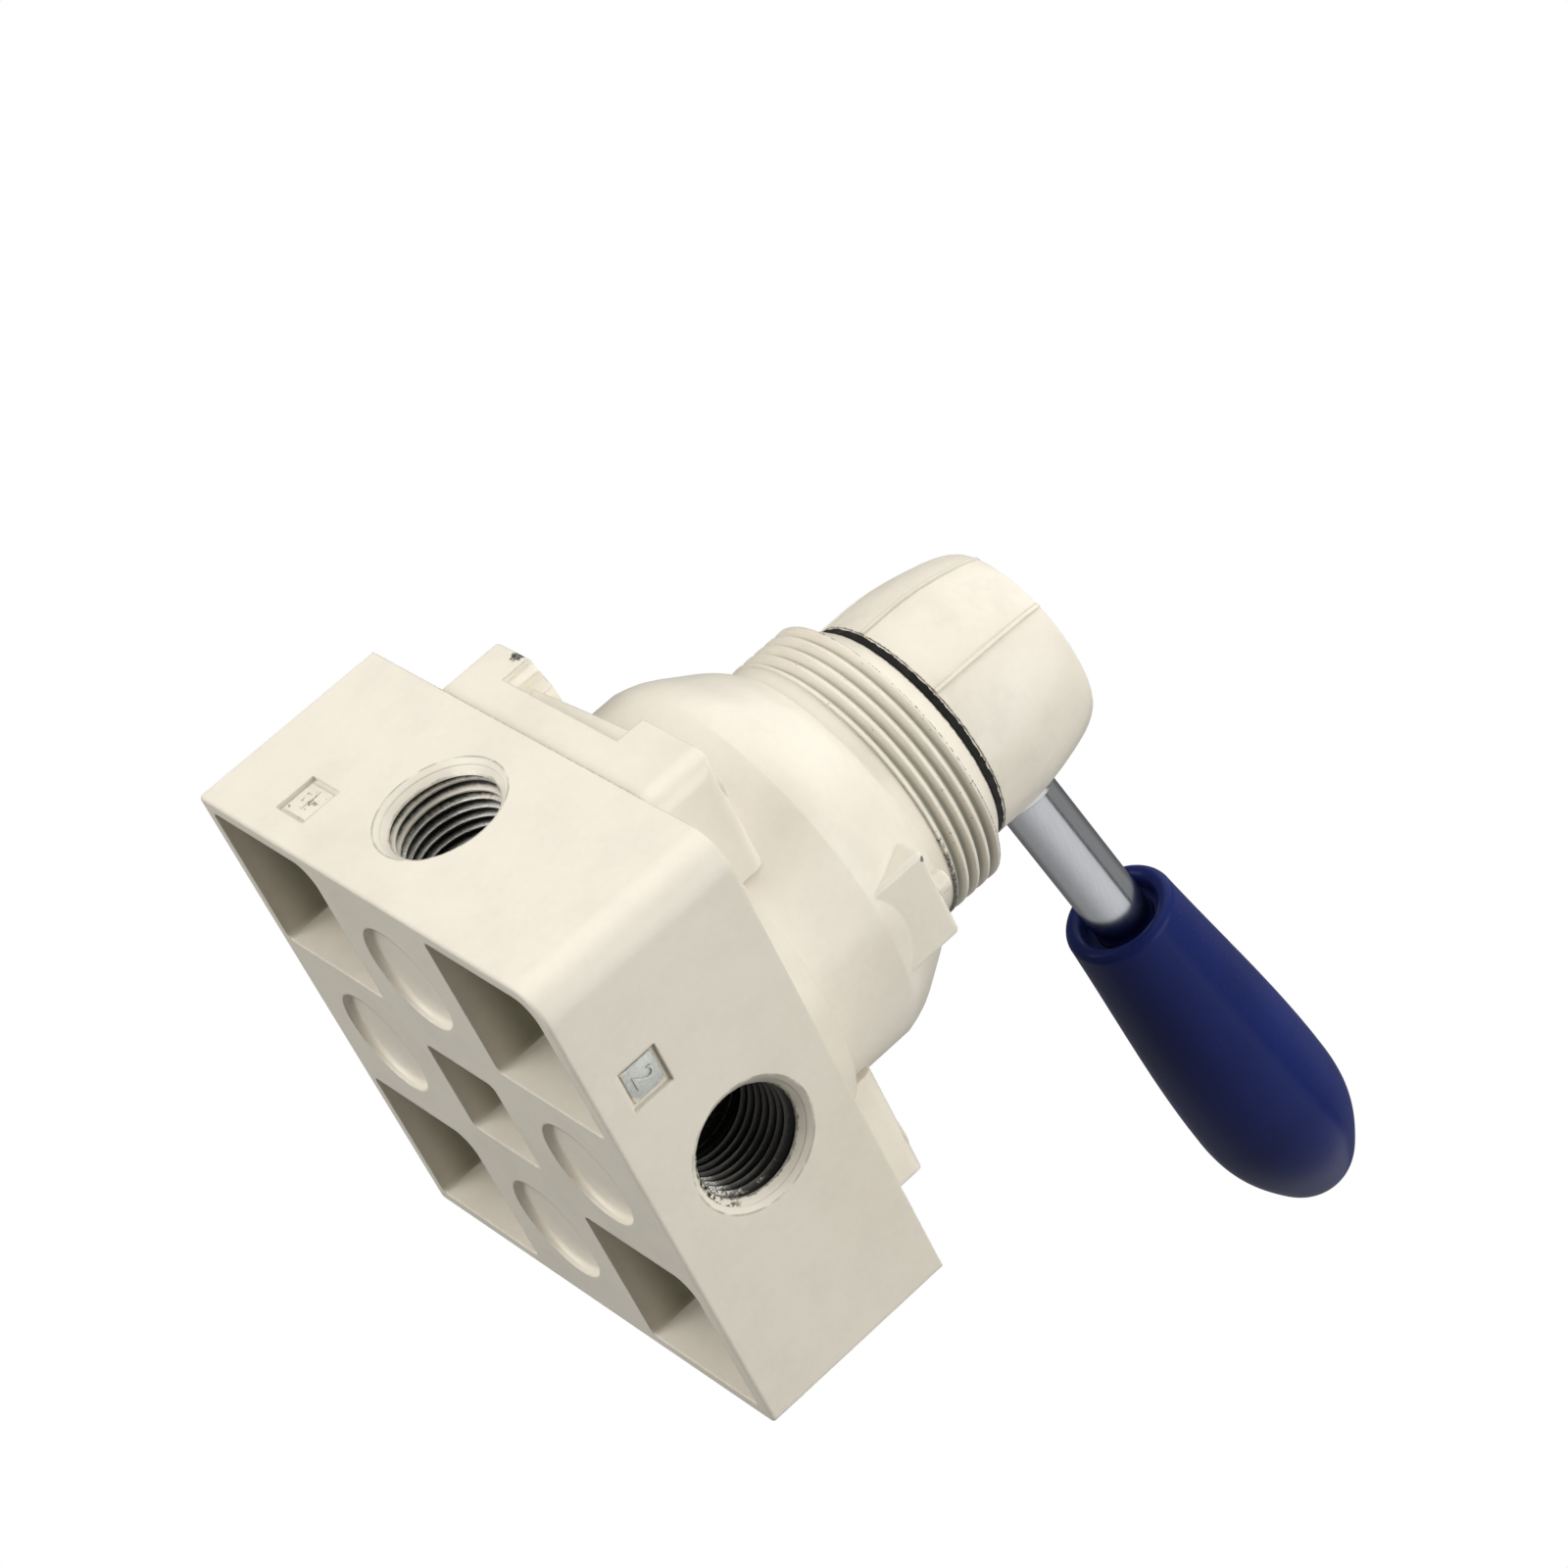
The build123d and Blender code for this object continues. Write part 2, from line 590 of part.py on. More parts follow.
def block_envelope():
    """Space that a screw block fills, with its outer ends rounded along the top."""
    outline = Rectangle(2 * BLOCK_HALF_LENGTH, BLOCK_HIGH_HEIGHT, align=(Align.CENTER, Align.MIN))
    outline = fillet(outline.vertices().group_by(Axis.Y)[-1], BLOCK_END_R)
    return extrude(Plane.XZ * outline, BLOCK_FRONT)


def screw_boss():
    """Round boss of the slim post, with a flute beside the post's front."""
    boss = Cylinder(SCREW_BOSS_R, BLOCK_HIGH_HEIGHT, align=BOTTOM)
    boss = fillet(boss.edges().group_by(Axis.Z)[-1], BLOCK_EDGE_R)
    flute = Pos(BOSS_FLUTE_PLACE, 0) * Cylinder(BOSS_FLUTE_R, BLOCK_HIGH_HEIGHT, align=BOTTOM)
    boss -= Rot(0, 0, BOSS_FLUTE_ANGLE) * flute
    return Pos(-SCREW_PLACE_X, -SCREW_PLACE_Y) * boss


def cover_block():
    """Screw block on the -Y side: a wide post, a slim post and a low bridge."""
    depth = BLOCK_FRONT - BLOCK_BACK
    middle = (BLOCK_FRONT + BLOCK_BACK) / 2
    bridge = Pos(0, -middle) * Rectangle(2 * BLOCK_HALF_LENGTH, depth)
    front_corners = bridge.vertices().group_by(Axis.Y)[0].sort_by(Axis.X)
    bridge = fillet(front_corners[-1], BLOCK_CORNER_R)
    slim_corner = bridge.vertices().sort_by(lambda v: v.X + v.Y)[0]
    bridge = fillet(slim_corner, BLOCK_SLIM_CORNER_R)
    wide_place = BLOCK_HALF_LENGTH - WIDE_POST_LENGTH / 2
    slim_place = SLIM_POST_LENGTH / 2 - BLOCK_HALF_LENGTH
    wide = (Pos(wide_place, -middle) * Rectangle(WIDE_POST_LENGTH, depth)) & bridge
    slim = (Pos(slim_place, -middle) * Rectangle(SLIM_POST_LENGTH, depth)) & bridge
    block = extrude(bridge, BLOCK_LOW_HEIGHT)
    block += block_post(wide, "left")
    block += block_post(slim, "right")
    block += screw_boss() + block_web()
    return Pos(0, 0, BASE_HEIGHT) * (block & block_envelope())


def lug():
    """Square lug on the dome's shoulder that carries the locating pin."""
    length = LUG_FACE - NECK_R / 2
    outline = Pos(LUG_FACE - length / 2, 0) * Rectangle(length, 2 * LUG_HALF_WIDTH)
    outline = fillet(outline.vertices().group_by(Axis.X)[-1], LUG_EDGE_R)
    body = extrude(outline, LUG_RISE)
    rim = body.edges().group_by(Axis.Z)[-1].sort_by(Axis.X)[1:]
    return Pos(0, 0, BASE_HEIGHT) * fillet(rim, LUG_EDGE_R)


def cover():
    """Cast cover: dome, threaded collar, screw blocks and locating lug."""
    body = cover_outline() + lug()
    for block in around(cover_block(), (0.0, 180.0)):
        body += block
    body -= rod_cylinder(COVER_CAVITY_R, ROOF_Z - BASE_HEIGHT, BASE_HEIGHT)
    body -= rod_cylinder(SHAFT_BORE_R, COLLAR_TOP_Z - ROOF_Z, ROOF_Z)
    body -= rod_cylinder(BUSH_R + SEAT_GAP, BUSH_LENGTH, BUSH_Z)
    for x, y in SCREW_PLACES:
        body -= Pos(x, y, 0) * rod_cylinder(
            SCREW_SHANK_R + SEAL_GAP, BLOCK_HIGH_HEIGHT, BASE_HEIGHT
        )
        body -= Pos(x, y, 0) * rod_cylinder(
            SCREW_HEAD_R + FREE_GAP, SCREW_HEAD_SINK, SCREW_SEAT_Z
        )
    dimple = Pos(BALL_PLACE, 0, BALL_Z + BALL_LIFT) * Sphere(BALL_R + RUN_GAP)
    for ball_angle in (0.0, 180.0):
        for stop in (-LEVER_SWING, 0.0, LEVER_SWING):
            body -= Rot(0, 0, ball_angle + stop) * dimple
    body -= Pos(0, STOP_PIN_PLACE, 0) * rod_cylinder(STOP_PIN_R + SEAT_GAP, STOP_PIN_GRIP, ROOF_Z)
    pin_length = LOCATING_PIN_GRIP + LOCATING_PIN_RISE
    body -= Pos(LOCATING_PIN_PLACE, 0, 0) * rod_cylinder(
        LOCATING_PIN_R + SEAT_GAP, pin_length, LUG_TOP_Z - LOCATING_PIN_GRIP
    )
    return body


def cover_gasket():
    """Rubber ring in the base's groove, under the cover."""
    return Pos(0, 0, BASE_HEIGHT - GASKET_GROOVE_DEPTH / 2) * Torus(GASKET_PLACE_R, GASKET_WIRE_R)


def cover_screws():
    """Four socket head screws that hold the cover on the base."""
    head_z = SCREW_SEAT_Z + WASHER_THICKNESS + 2 * SEAT_GAP
    shank_z = BASE_HEIGHT - SCREW_GRIP
    screw = rod_cylinder(SCREW_SHANK_R, head_z - shank_z, shank_z)
    screw += rod_cylinder(SCREW_HEAD_R, SCREW_HEAD_HEIGHT, head_z)
    socket = extrude(RegularPolygon(SCREW_SOCKET_SIDE / math.sqrt(3), 6), SCREW_SOCKET_DEPTH)
    screw -= Pos(0, 0, head_z + SCREW_HEAD_HEIGHT - SCREW_SOCKET_DEPTH) * socket
    return [Pos(x, y, 0) * screw for x, y in SCREW_PLACES]


def cover_washers():
    """Spring washers under the cover screws."""
    inner_r = SCREW_SHANK_R + SEAL_GAP
    ring = washer(SCREW_HEAD_R, inner_r, WASHER_THICKNESS, SCREW_SEAT_Z + SEAT_GAP)
    return [Pos(x, y, 0) * ring for x, y in SCREW_PLACES]


def locating_pin():
    """Pin on the lug that keeps the valve from turning in a panel."""
    length = LOCATING_PIN_GRIP + LOCATING_PIN_RISE - SEAT_GAP
    pin = rod_cylinder(LOCATING_PIN_R, length, LUG_TOP_Z - LOCATING_PIN_GRIP + SEAT_GAP)
    pin = fillet(pin.edges().group_by(Axis.Z)[-1], LOCATING_PIN_ROUND)
    return Pos(LOCATING_PIN_PLACE, 0, 0) * pin


def spindle_bush():
    """Bearing bush pressed into the collar."""
    return washer(BUSH_R, SPINDLE_R + RUN_GAP, BUSH_LENGTH - SEAT_GAP, BUSH_Z + SEAT_GAP)


def dust_ring():
    """Black ring that closes the gap between collar and hub."""
    thickness = DUST_RING_THICKNESS - SEAT_GAP
    return washer(DUST_RING_R, DUST_RING_IN_R, thickness, COLLAR_TOP_Z + SEAL_GAP)


def hub_outline(proud=0.0):
    """Outside of the hub as a solid of revolution, grown by proud."""
    top_z = HUB_Z + HUB_HEIGHT
    shoulder = HUB_Z + HUB_STRAIGHT_HEIGHT
    wall = Polyline((0, HUB_Z), (HUB_R + proud, HUB_Z), (HUB_R + proud, shoulder))
    curve = Spline(
        (HUB_R + proud, shoulder),
        (HUB_SHOULDER_R + proud, HUB_Z + HUB_SHOULDER_RISE),
        (HUB_TOP_R + proud, HUB_Z + HUB_TOP_RISE),
        tangents=[(0, 1), (-HUB_TOP_SLOPE, 1)],
    )
    rest = Polyline(
        (HUB_TOP_R + proud, HUB_Z + HUB_TOP_RISE),
        (HUB_CROWN_R + proud, top_z),
        (0, top_z),
        (0, HUB_Z),
    )
    return turned(wall, curve, rest)


def hub_ribs():
    """Fine casting ribs down the back of the hub."""
    blade = Pos(HUB_R, 0, HUB_Z) * Box(HUB_R, HUB_RIB_WIDTH, HUB_TOP_RISE, align=BOTTOM)
    skin = hub_outline(HUB_RIB_PROUD)
    return [skin & (Rot(0, 0, angle) * blade) for angle in HUB_RIB_ANGLES]


def hub():
    """Painted hub that clamps the lever on the spindle's square."""
    body = hub_outline()
    for rib in hub_ribs():
        body += rib
    lip_reach = HUB_R / math.cos(math.radians(ROD_TILT)) + ROD_LIP_PROUD
    body += on_rod(rod_cylinder(ROD_LIP_R, lip_reach - ROD_START, ROD_START))
    body -= rod_cylinder(HUB_RECESS_R, HUB_RECESS_DEPTH, HUB_RECESS_Z)
    socket = SPINDLE_SQUARE + 2 * SEAT_GAP
    body -= Pos(0, 0, HUB_Z) * Box(socket, socket, SPINDLE_TOP_Z - HUB_Z + SEAT_GAP, align=BOTTOM)
    body -= rod_cylinder(SPINDLE_R + SEAT_GAP, SPINDLE_SHOULDER_Z - HUB_Z + SEAT_GAP, HUB_Z)
    body -= rod_cylinder(SPINDLE_SCREW_R + HUB_SCREW_HOLE_GAP, HUB_HEIGHT, HUB_Z)
    body -= on_rod(rod_cylinder(ROD_R + SEAT_GAP, GRIP_START, ROD_START - SEAT_GAP))
    return body


def hub_washer():
    """Plain washer under the hub screw."""
    return washer(
        HUB_WASHER_R, SPINDLE_SCREW_R + SEAL_GAP, HUB_WASHER_THICKNESS, HUB_WASHER_Z
    )


def hub_screw():
    """Pan head screw that holds the hub down on the spindle."""
    shank_z = HUB_SCREW_HEAD_Z - HUB_SCREW_GRIP
    screw = rod_cylinder(SPINDLE_SCREW_R - SEAT_GAP, HUB_SCREW_GRIP, shank_z)
    head = rod_cylinder(HUB_SCREW_HEAD_R, HUB_SCREW_HEAD_HEIGHT, HUB_SCREW_HEAD_Z)
    head = fillet(head.edges().group_by(Axis.Z)[-1], HUB_SCREW_HEAD_HEIGHT / 2)
    slot = Box(HUB_SCREW_HEAD_R, HUB_SCREW_CROSS_WIDTH, HUB_SCREW_CROSS_DEPTH, align=TOP)
    cross = slot + Rot(0, 0, 90) * slot
    head -= Pos(0, 0, HUB_SCREW_HEAD_Z + HUB_SCREW_HEAD_HEIGHT) * cross
    return screw + head


def lever_rod():
    """Round steel rod from the hub into the grip."""
    end = GRIP_START + GRIP_THROAT_DEPTH + INSERT_LENGTH
    rod = rod_cylinder(ROD_R, end - ROD_START, ROD_START)
    rod = chamfer(rod.edges().filter_by(GeomType.CIRCLE), ROD_CHAMFER)
    return on_rod(rod)


def grip_insert():
    """Brass sleeve moulded into the grip, screwed on the rod."""
    z = GRIP_START + GRIP_THROAT_DEPTH + SEAT_GAP
    return on_rod(washer(ROD_R + INSERT_WALL, ROD_R + SEAT_GAP, INSERT_LENGTH - SEAT_GAP, z))


def grip():
    """Moulded grip: a slim rolled rim that swells to a full round nose."""
    belly = GRIP_LENGTH - GRIP_NOSE_LENGTH
    swell = Spline(
        (GRIP_RIM_R, GRIP_RIM_ROUND),
        (GRIP_MIDDLE_R, belly * GRIP_MIDDLE_SHARE),
        (GRIP_MAX_R, belly),
        tangents=[(GRIP_FLARE, 1), (0, 1)],
    )
    middle = math.sqrt(0.5)
    nose = Spline(
        (GRIP_MAX_R, belly),
        (GRIP_MAX_R * middle, belly + GRIP_NOSE_LENGTH * middle),
        (0, GRIP_LENGTH),
        tangents=[(0, 1), (-1, 0)],
    )
    bore_r = ROD_R + INSERT_WALL + SEAT_GAP
    throat_r = ROD_R + SEAL_GAP
    bore_end = GRIP_THROAT_DEPTH + INSERT_LENGTH + SEAT_GAP
    inner = Polyline(
        (0, GRIP_LENGTH),
        (0, bore_end),
        (bore_r, bore_end),
        (bore_r, GRIP_THROAT_DEPTH),
        (throat_r, GRIP_THROAT_DEPTH),
        (throat_r, GRIP_MOUTH_DEPTH),
        (GRIP_MOUTH_R, GRIP_MOUTH_DEPTH),
        (GRIP_MOUTH_R, GRIP_RIM_ROUND),
    )
    rim = ThreePointArc(
        (GRIP_MOUTH_R, GRIP_RIM_ROUND),
        ((GRIP_MOUTH_R + GRIP_RIM_R) / 2, 0),
        (GRIP_RIM_R, GRIP_RIM_ROUND),
    )
    body = turned(swell, nose, inner, rim)
    return on_rod(Pos(0, 0, GRIP_START) * body)


def parts():
    """Every node's name with its solid or its list of solids."""
    return {
        "base_body": base_body(),
        "port_seals": port_seals(),
        "seat_plate": seat_plate(),
        "seat_dowels": seat_dowels(),
        "cover_gasket": cover_gasket(),
        "cover": cover(),
        "cover_screws": cover_screws(),
        "cover_washers": cover_washers(),
        "locating_pin": locating_pin(),
        "stop_pin": stop_pin(),
        "spindle_bush": spindle_bush(),
        "rotor_disc": rotor_disc(),
        "disc_spring": disc_spring(),
        "spindle": spindle(),
        "shaft_seals": shaft_seals(),
        "thrust_washer": thrust_washer(),
        "detent_ball_a": detent_ball(0.0),
        "detent_ball_b": detent_ball(180.0),
        "detent_spring_a": detent_spring(0.0),
        "detent_spring_b": detent_spring(180.0),
        "dust_ring": dust_ring(),
        "hub": hub(),
        "hub_washer": hub_washer(),
        "hub_screw": hub_screw(),
        "lever_rod": lever_rod(),
        "grip_insert": grip_insert(),
        "grip": grip(),
    }


def main():
    """Write one STEP file for each node."""
    os.makedirs("parts", exist_ok=True)
    for name, piece in parts().items():
        solids = piece if isinstance(piece, list) else [piece]
        shape = solids[0] if len(solids) == 1 else Compound(children=solids)
        export_step(shape, "parts/" + name + ".step")


main()
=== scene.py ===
import json
import math
import random

import bmesh
import bpy
from mathutils import Matrix, Vector


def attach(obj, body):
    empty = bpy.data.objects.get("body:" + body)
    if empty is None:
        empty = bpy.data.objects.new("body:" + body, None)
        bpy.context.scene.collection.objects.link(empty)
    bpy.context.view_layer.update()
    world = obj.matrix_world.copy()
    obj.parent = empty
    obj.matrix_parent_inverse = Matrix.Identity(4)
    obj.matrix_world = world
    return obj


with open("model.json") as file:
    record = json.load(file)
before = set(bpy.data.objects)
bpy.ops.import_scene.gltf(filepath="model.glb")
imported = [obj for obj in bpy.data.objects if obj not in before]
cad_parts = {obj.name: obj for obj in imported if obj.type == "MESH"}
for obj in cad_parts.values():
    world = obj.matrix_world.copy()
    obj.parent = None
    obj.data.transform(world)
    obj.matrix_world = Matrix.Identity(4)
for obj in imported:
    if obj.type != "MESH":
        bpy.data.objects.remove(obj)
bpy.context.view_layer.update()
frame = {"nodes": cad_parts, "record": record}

MM = 0.001

# Sizes shared with the model, in millimetres
BASE_HALF = 30.0
BASE_TOP = 23.4
PORT_Z = 12.1
PORT_MOUTH_DEPTH = 0.5
THREAD_R = 6.58
THREAD_MINOR_R = 5.72
THREAD_PITCH = 1.337
THREAD_START = 1.0
THREAD_LENGTH = 11.2
THREAD_WALL_R = THREAD_R + 0.04
MARK_Z = 5.8
MARK_DEPTH = 0.5
POCKET_REACH = 28.7
CORNER_POCKET_WALLS = (10.35, -28.34)
CENTRE_POCKET_WALL = -6.05
SEAT_RECESS_R = 20.5
CHAMBER_R = 19.3
CHAMBER_ROOF_Z = 40.8
COLLAR_R = 16.5
COLLAR_THREAD_START = 49.65
COLLAR_THREAD_END = 56.0
COLLAR_TOP_Z = 58.5
HUB_FOOT_Z = 59.3
PIN_TOP_Z = 46.9
ROD_AXIS_Z = 65.2
ROD_TILT = math.radians(10.6)
# A slim post's screw, and the band of its sunk head that the flute beside it lays open
POST_SCREW = (-14.1, -24.6, 0.0)
POST_FLUTE_ANGLE = -38.0
HEAD_WALL = ((3.60, 26.55), (3.82, 26.55), (3.82, 31.42), (3.60, 31.42))
# Each side's turn about Z with its port's place and its mark's place along the side
SIDES = ((0, -1.9, -17.2), (90, 1.0, -14.3), (180, -1.9, -17.2), (270, 1.0, -14.3))
# The port painted in shade down its bore, with painted glints low in its mouth, and the ports whose
# number plates are bare
SHADED_GLINT_PORT = 2
BARE_PLATES = (2, 4)

# The photograph's view: the image's right and upward directions, and the way back to the camera
CAMERA_RIGHT = Vector((0.5937, 0.3678, 0.7157))
CAMERA_UP = Vector((-0.3108, -0.7156, 0.6256))
CAMERA_BACK = CAMERA_RIGHT.cross(CAMERA_UP)
CAMERA_PLACE = (0.380377, -0.310122, -0.11469)
CAMERA_LENS = 116.58
VALVE_MIDDLE = Vector((0.0, 0.012, 0.036))

WORLD_LEVEL = 0.132
LAMP_DISTANCE = 0.8
# Each lamp's direction by the image's right, up and back, its size and power, and whether
# shiny faces mirror it
LAMPS = {
    "top_lamp": ((-0.25, 0.9, 0.45), 0.9, 2.7, True),
    "high_right_lamp": ((0.75, 0.55, 0.35), 1.0, 4.35, False),
    "right_lamp": ((0.85, 0.0, 0.5), 0.7, 3.6, True),
    "left_lamp": ((-0.86, 0.14, 0.48), 0.7, 5.7, True),
    "top_rear_lamp": ((0.3, 0.9, -0.2), 0.7, 1.8, True),
    "rear_lamp": ((0.0, 0.2, -1.0), 0.8, 4.0, False),
}

CREAM = (0.760, 0.708, 0.600)
CREAM_THIN = (0.700, 0.645, 0.535)
PAINTED_SHADE = (0.200, 0.190, 0.130)
OLIVE_WALL_SHADE = (0.100, 0.108, 0.058)
THREAD_GRIME_AND_SHADE = (0.190, 0.195, 0.150)
JOINT_DIRT = (0.160, 0.150, 0.130)
JOINT_SHADOW = (0.070, 0.066, 0.055)
RUBBER_SMEAR_AND_SHADE = (0.012, 0.011, 0.009)
CAST_METAL = (0.270, 0.255, 0.225)
DARK_METAL = (0.050, 0.045, 0.036)
BARE_METAL_IN_SHADE = (0.100, 0.098, 0.090)
POLISHED_METAL = (0.550, 0.550, 0.550)


class Value:
    """A shader socket that takes part in Python expressions."""

    def __init__(self, nodes, socket):
        self.nodes = nodes
        self.socket = socket

    def math(self, operation, first, second=None):
        sockets = {0: first} if second is None else {0: first, 1: second}
        return self.nodes.node("ShaderNodeMath", {"operation": operation}, sockets)

    def __add__(self, other):
        return self.math("ADD", self, other)

    def __radd__(self, other):
        return self.math("ADD", other, self)

    def __sub__(self, other):
        return self.math("SUBTRACT", self, other)

    def __rsub__(self, other):
        return self.math("SUBTRACT", other, self)

    def __mul__(self, other):
        return self.math("MULTIPLY", self, other)

    def __rmul__(self, other):
        return self.math("MULTIPLY", other, self)

    def __truediv__(self, other):
        return self.math("DIVIDE", self, other)

    def __pow__(self, other):
        return self.math("POWER", self, other)

    def __abs__(self):
        return self.math("ABSOLUTE", self)

    def least(self, other):
        return self.math("MINIMUM", self, other)

    def most(self, other):
        return self.math("MAXIMUM", self, other)

    def rise(self, low, high):
        """0 below low, 1 above high and smooth between, or falling where low is the larger."""
        settings = {"interpolation_type": "SMOOTHSTEP"}
        sockets = {"Value": self, "From Min": low, "From Max": high}
        return self.nodes.node("ShaderNodeMapRange", settings, sockets)


class Nodes:
    """The nodes of a material or of the world."""

    def __init__(self, owner):
        owner.use_nodes = True
        self.tree = owner.node_tree
        self.tree.nodes.clear()

    def node(self, kind, settings=None, sockets=None, output=0):
        """Any node: its settings are set first, then its sockets' values or links."""
        made = self.tree.nodes.new(kind)
        for key, value in (settings or {}).items():
            setattr(made, key, value)
        for key, value in (sockets or {}).items():
            socket = made.inputs[key]
            if isinstance(value, Value):
                self.tree.links.new(value.socket, socket)
            else:
                socket.default_value = value
        return Value(self, made.outputs[output]) if made.outputs else None

    def parts_of(self, vector):
        split = self.node("ShaderNodeSeparateXYZ", None, {0: vector}).socket.node
        return [Value(self, socket) for socket in split.outputs]

    def vector(self, x, y, z):
        return self.node("ShaderNodeCombineXYZ", None, {0: x, 1: y, 2: z})

    def dot(self, vector, direction):
        """How far a vector reaches along a direction."""
        settings = {"operation": "DOT_PRODUCT"}
        return self.node("ShaderNodeVectorMath", settings, {0: vector, 1: direction}, "Value")


class Finish(Nodes):
    """The nodes of one material, with the place on the valve in millimetres."""

    def __init__(self, name):
        self.material = bpy.data.materials.new(name)
        super().__init__(self.material)
        coordinates = self.node("ShaderNodeTexCoord", output="Object")
        scale = {"operation": "SCALE"}
        self.place = self.node("ShaderNodeVectorMath", scale, {0: coordinates, "Scale": 1 / MM})
        self.x, self.y, self.z = self.parts_of(self.place)

    def noise(self, per_mm, detail=2.0, roughness=0.5, place=None):
        """Noise from 0 to 1 with its grain given as cells in a millimetre."""
        sockets = {
            "Vector": place or self.place,
            "Scale": per_mm,
            "Detail": detail,
            "Roughness": roughness,
        }
        return self.node("ShaderNodeTexNoise", None, sockets)

    # Sockets 0, 6 and 7 of a colour mix are its share and its two colours

    def mix(self, first, second, share):
        """A colour between two, given as triples or as values."""
        first, second = [
            (*colour, 1.0) if isinstance(colour, tuple) else colour for colour in (first, second)
        ]
        sockets = {0: share, 6: first, 7: second}
        return self.node("ShaderNodeMix", {"data_type": "RGBA"}, sockets, output=2)

    def shaded(self, colour, share):
        """A colour with its brightness multiplied by a value."""
        grey = self.vector(share, share, share)
        settings = {"data_type": "RGBA", "blend_type": "MULTIPLY"}
        return self.node("ShaderNodeMix", settings, {0: 1.0, 6: colour, 7: grey}, output=2)

    def around_z(self):
        """Distance from the spindle's axis."""
        return (self.x * self.x + self.y * self.y) ** 0.5

    def from_port(self, side):
        """Distance from a side port's axis, and depth below that side's face."""
        turn, port, _ = side
        angle = math.radians(turn)
        along = self.x * math.cos(angle) + self.y * math.sin(angle)
        inward = self.y * math.cos(angle) - self.x * math.sin(angle) + BASE_HALF
        off = ((along - port) * (along - port) + (self.z - PORT_Z) * (self.z - PORT_Z)) ** 0.5
        return off, inward

    def from_rod(self):
        """Distance from the lever rod's axis, and the way out along it from the spindle's."""
        rise = self.z - ROD_AXIS_Z
        out = self.y * math.cos(ROD_TILT) + rise * math.sin(ROD_TILT)
        across = rise * math.cos(ROD_TILT) - self.y * math.sin(ROD_TILT)
        return (self.x * self.x + across * across) ** 0.5, out

    def near(self, x, y, z, radius):
        """1 close to a point and 0 beyond the radius, with a ragged edge."""
        away = self.node(
            "ShaderNodeVectorMath",
            {"operation": "DISTANCE"},
            {0: self.place, 1: (x, y, z)},
            "Value",
        )
        ragged = away + (self.noise(2.2, 3) - 0.5) * radius
        return ragged.rise(radius, radius * 0.8)

    def surface(self, colour, roughness, metal, coat, bump, depth, edge=0.0, **fixed):
        """The Principled shader, with bump in millimetres and edges eased by a small radius."""
        sockets = {
            "Base Color": colour,
            "Roughness": roughness,
            "Metallic": metal,
            "Coat Weight": coat,
        }
        height = {"Height": bump, "Distance": depth * MM, "Strength": 1.0}
        if edge:
            height["Normal"] = self.node("ShaderNodeBevel", {"samples": 6}, {"Radius": edge * MM})
        sockets["Normal"] = self.node("ShaderNodeBump", None, height)
        sockets.update(fixed)
        shader = self.node("ShaderNodeBsdfPrincipled", None, sockets)
        self.node("ShaderNodeOutputMaterial", None, {"Surface": shader})
        return self.material


def paint_skin(finish):
    """Colour, roughness and height of the satin cream paint before any wear."""
    cloud = finish.noise(0.045, 3)
    speck = finish.noise(1.1, 2)
    peel = finish.noise(0.9, 2)
    colour = finish.mix(CREAM_THIN, CREAM, cloud.rise(0.15, 0.6))
    smudge = finish.noise(0.16, 4, 0.6)
    colour = finish.shaded(colour, 0.93 + speck * 0.05 + smudge.rise(0.3, 0.6) * 0.04)
    roughness = 0.33 + finish.noise(0.12, 2) * 0.12
    return colour, roughness, peel


def chipped(finish, colour, roughness, chip, metal=CAST_METAL):
    """The paint with bare cast metal where chip is 1."""
    tone = finish.mix(DARK_METAL, metal, finish.noise(3.0, 3).rise(0.35, 0.65))
    colour = finish.mix(colour, tone, chip)
    roughness = roughness * (1 - chip) + (0.3 + finish.noise(2.0, 2) * 0.25) * chip
    return colour, roughness


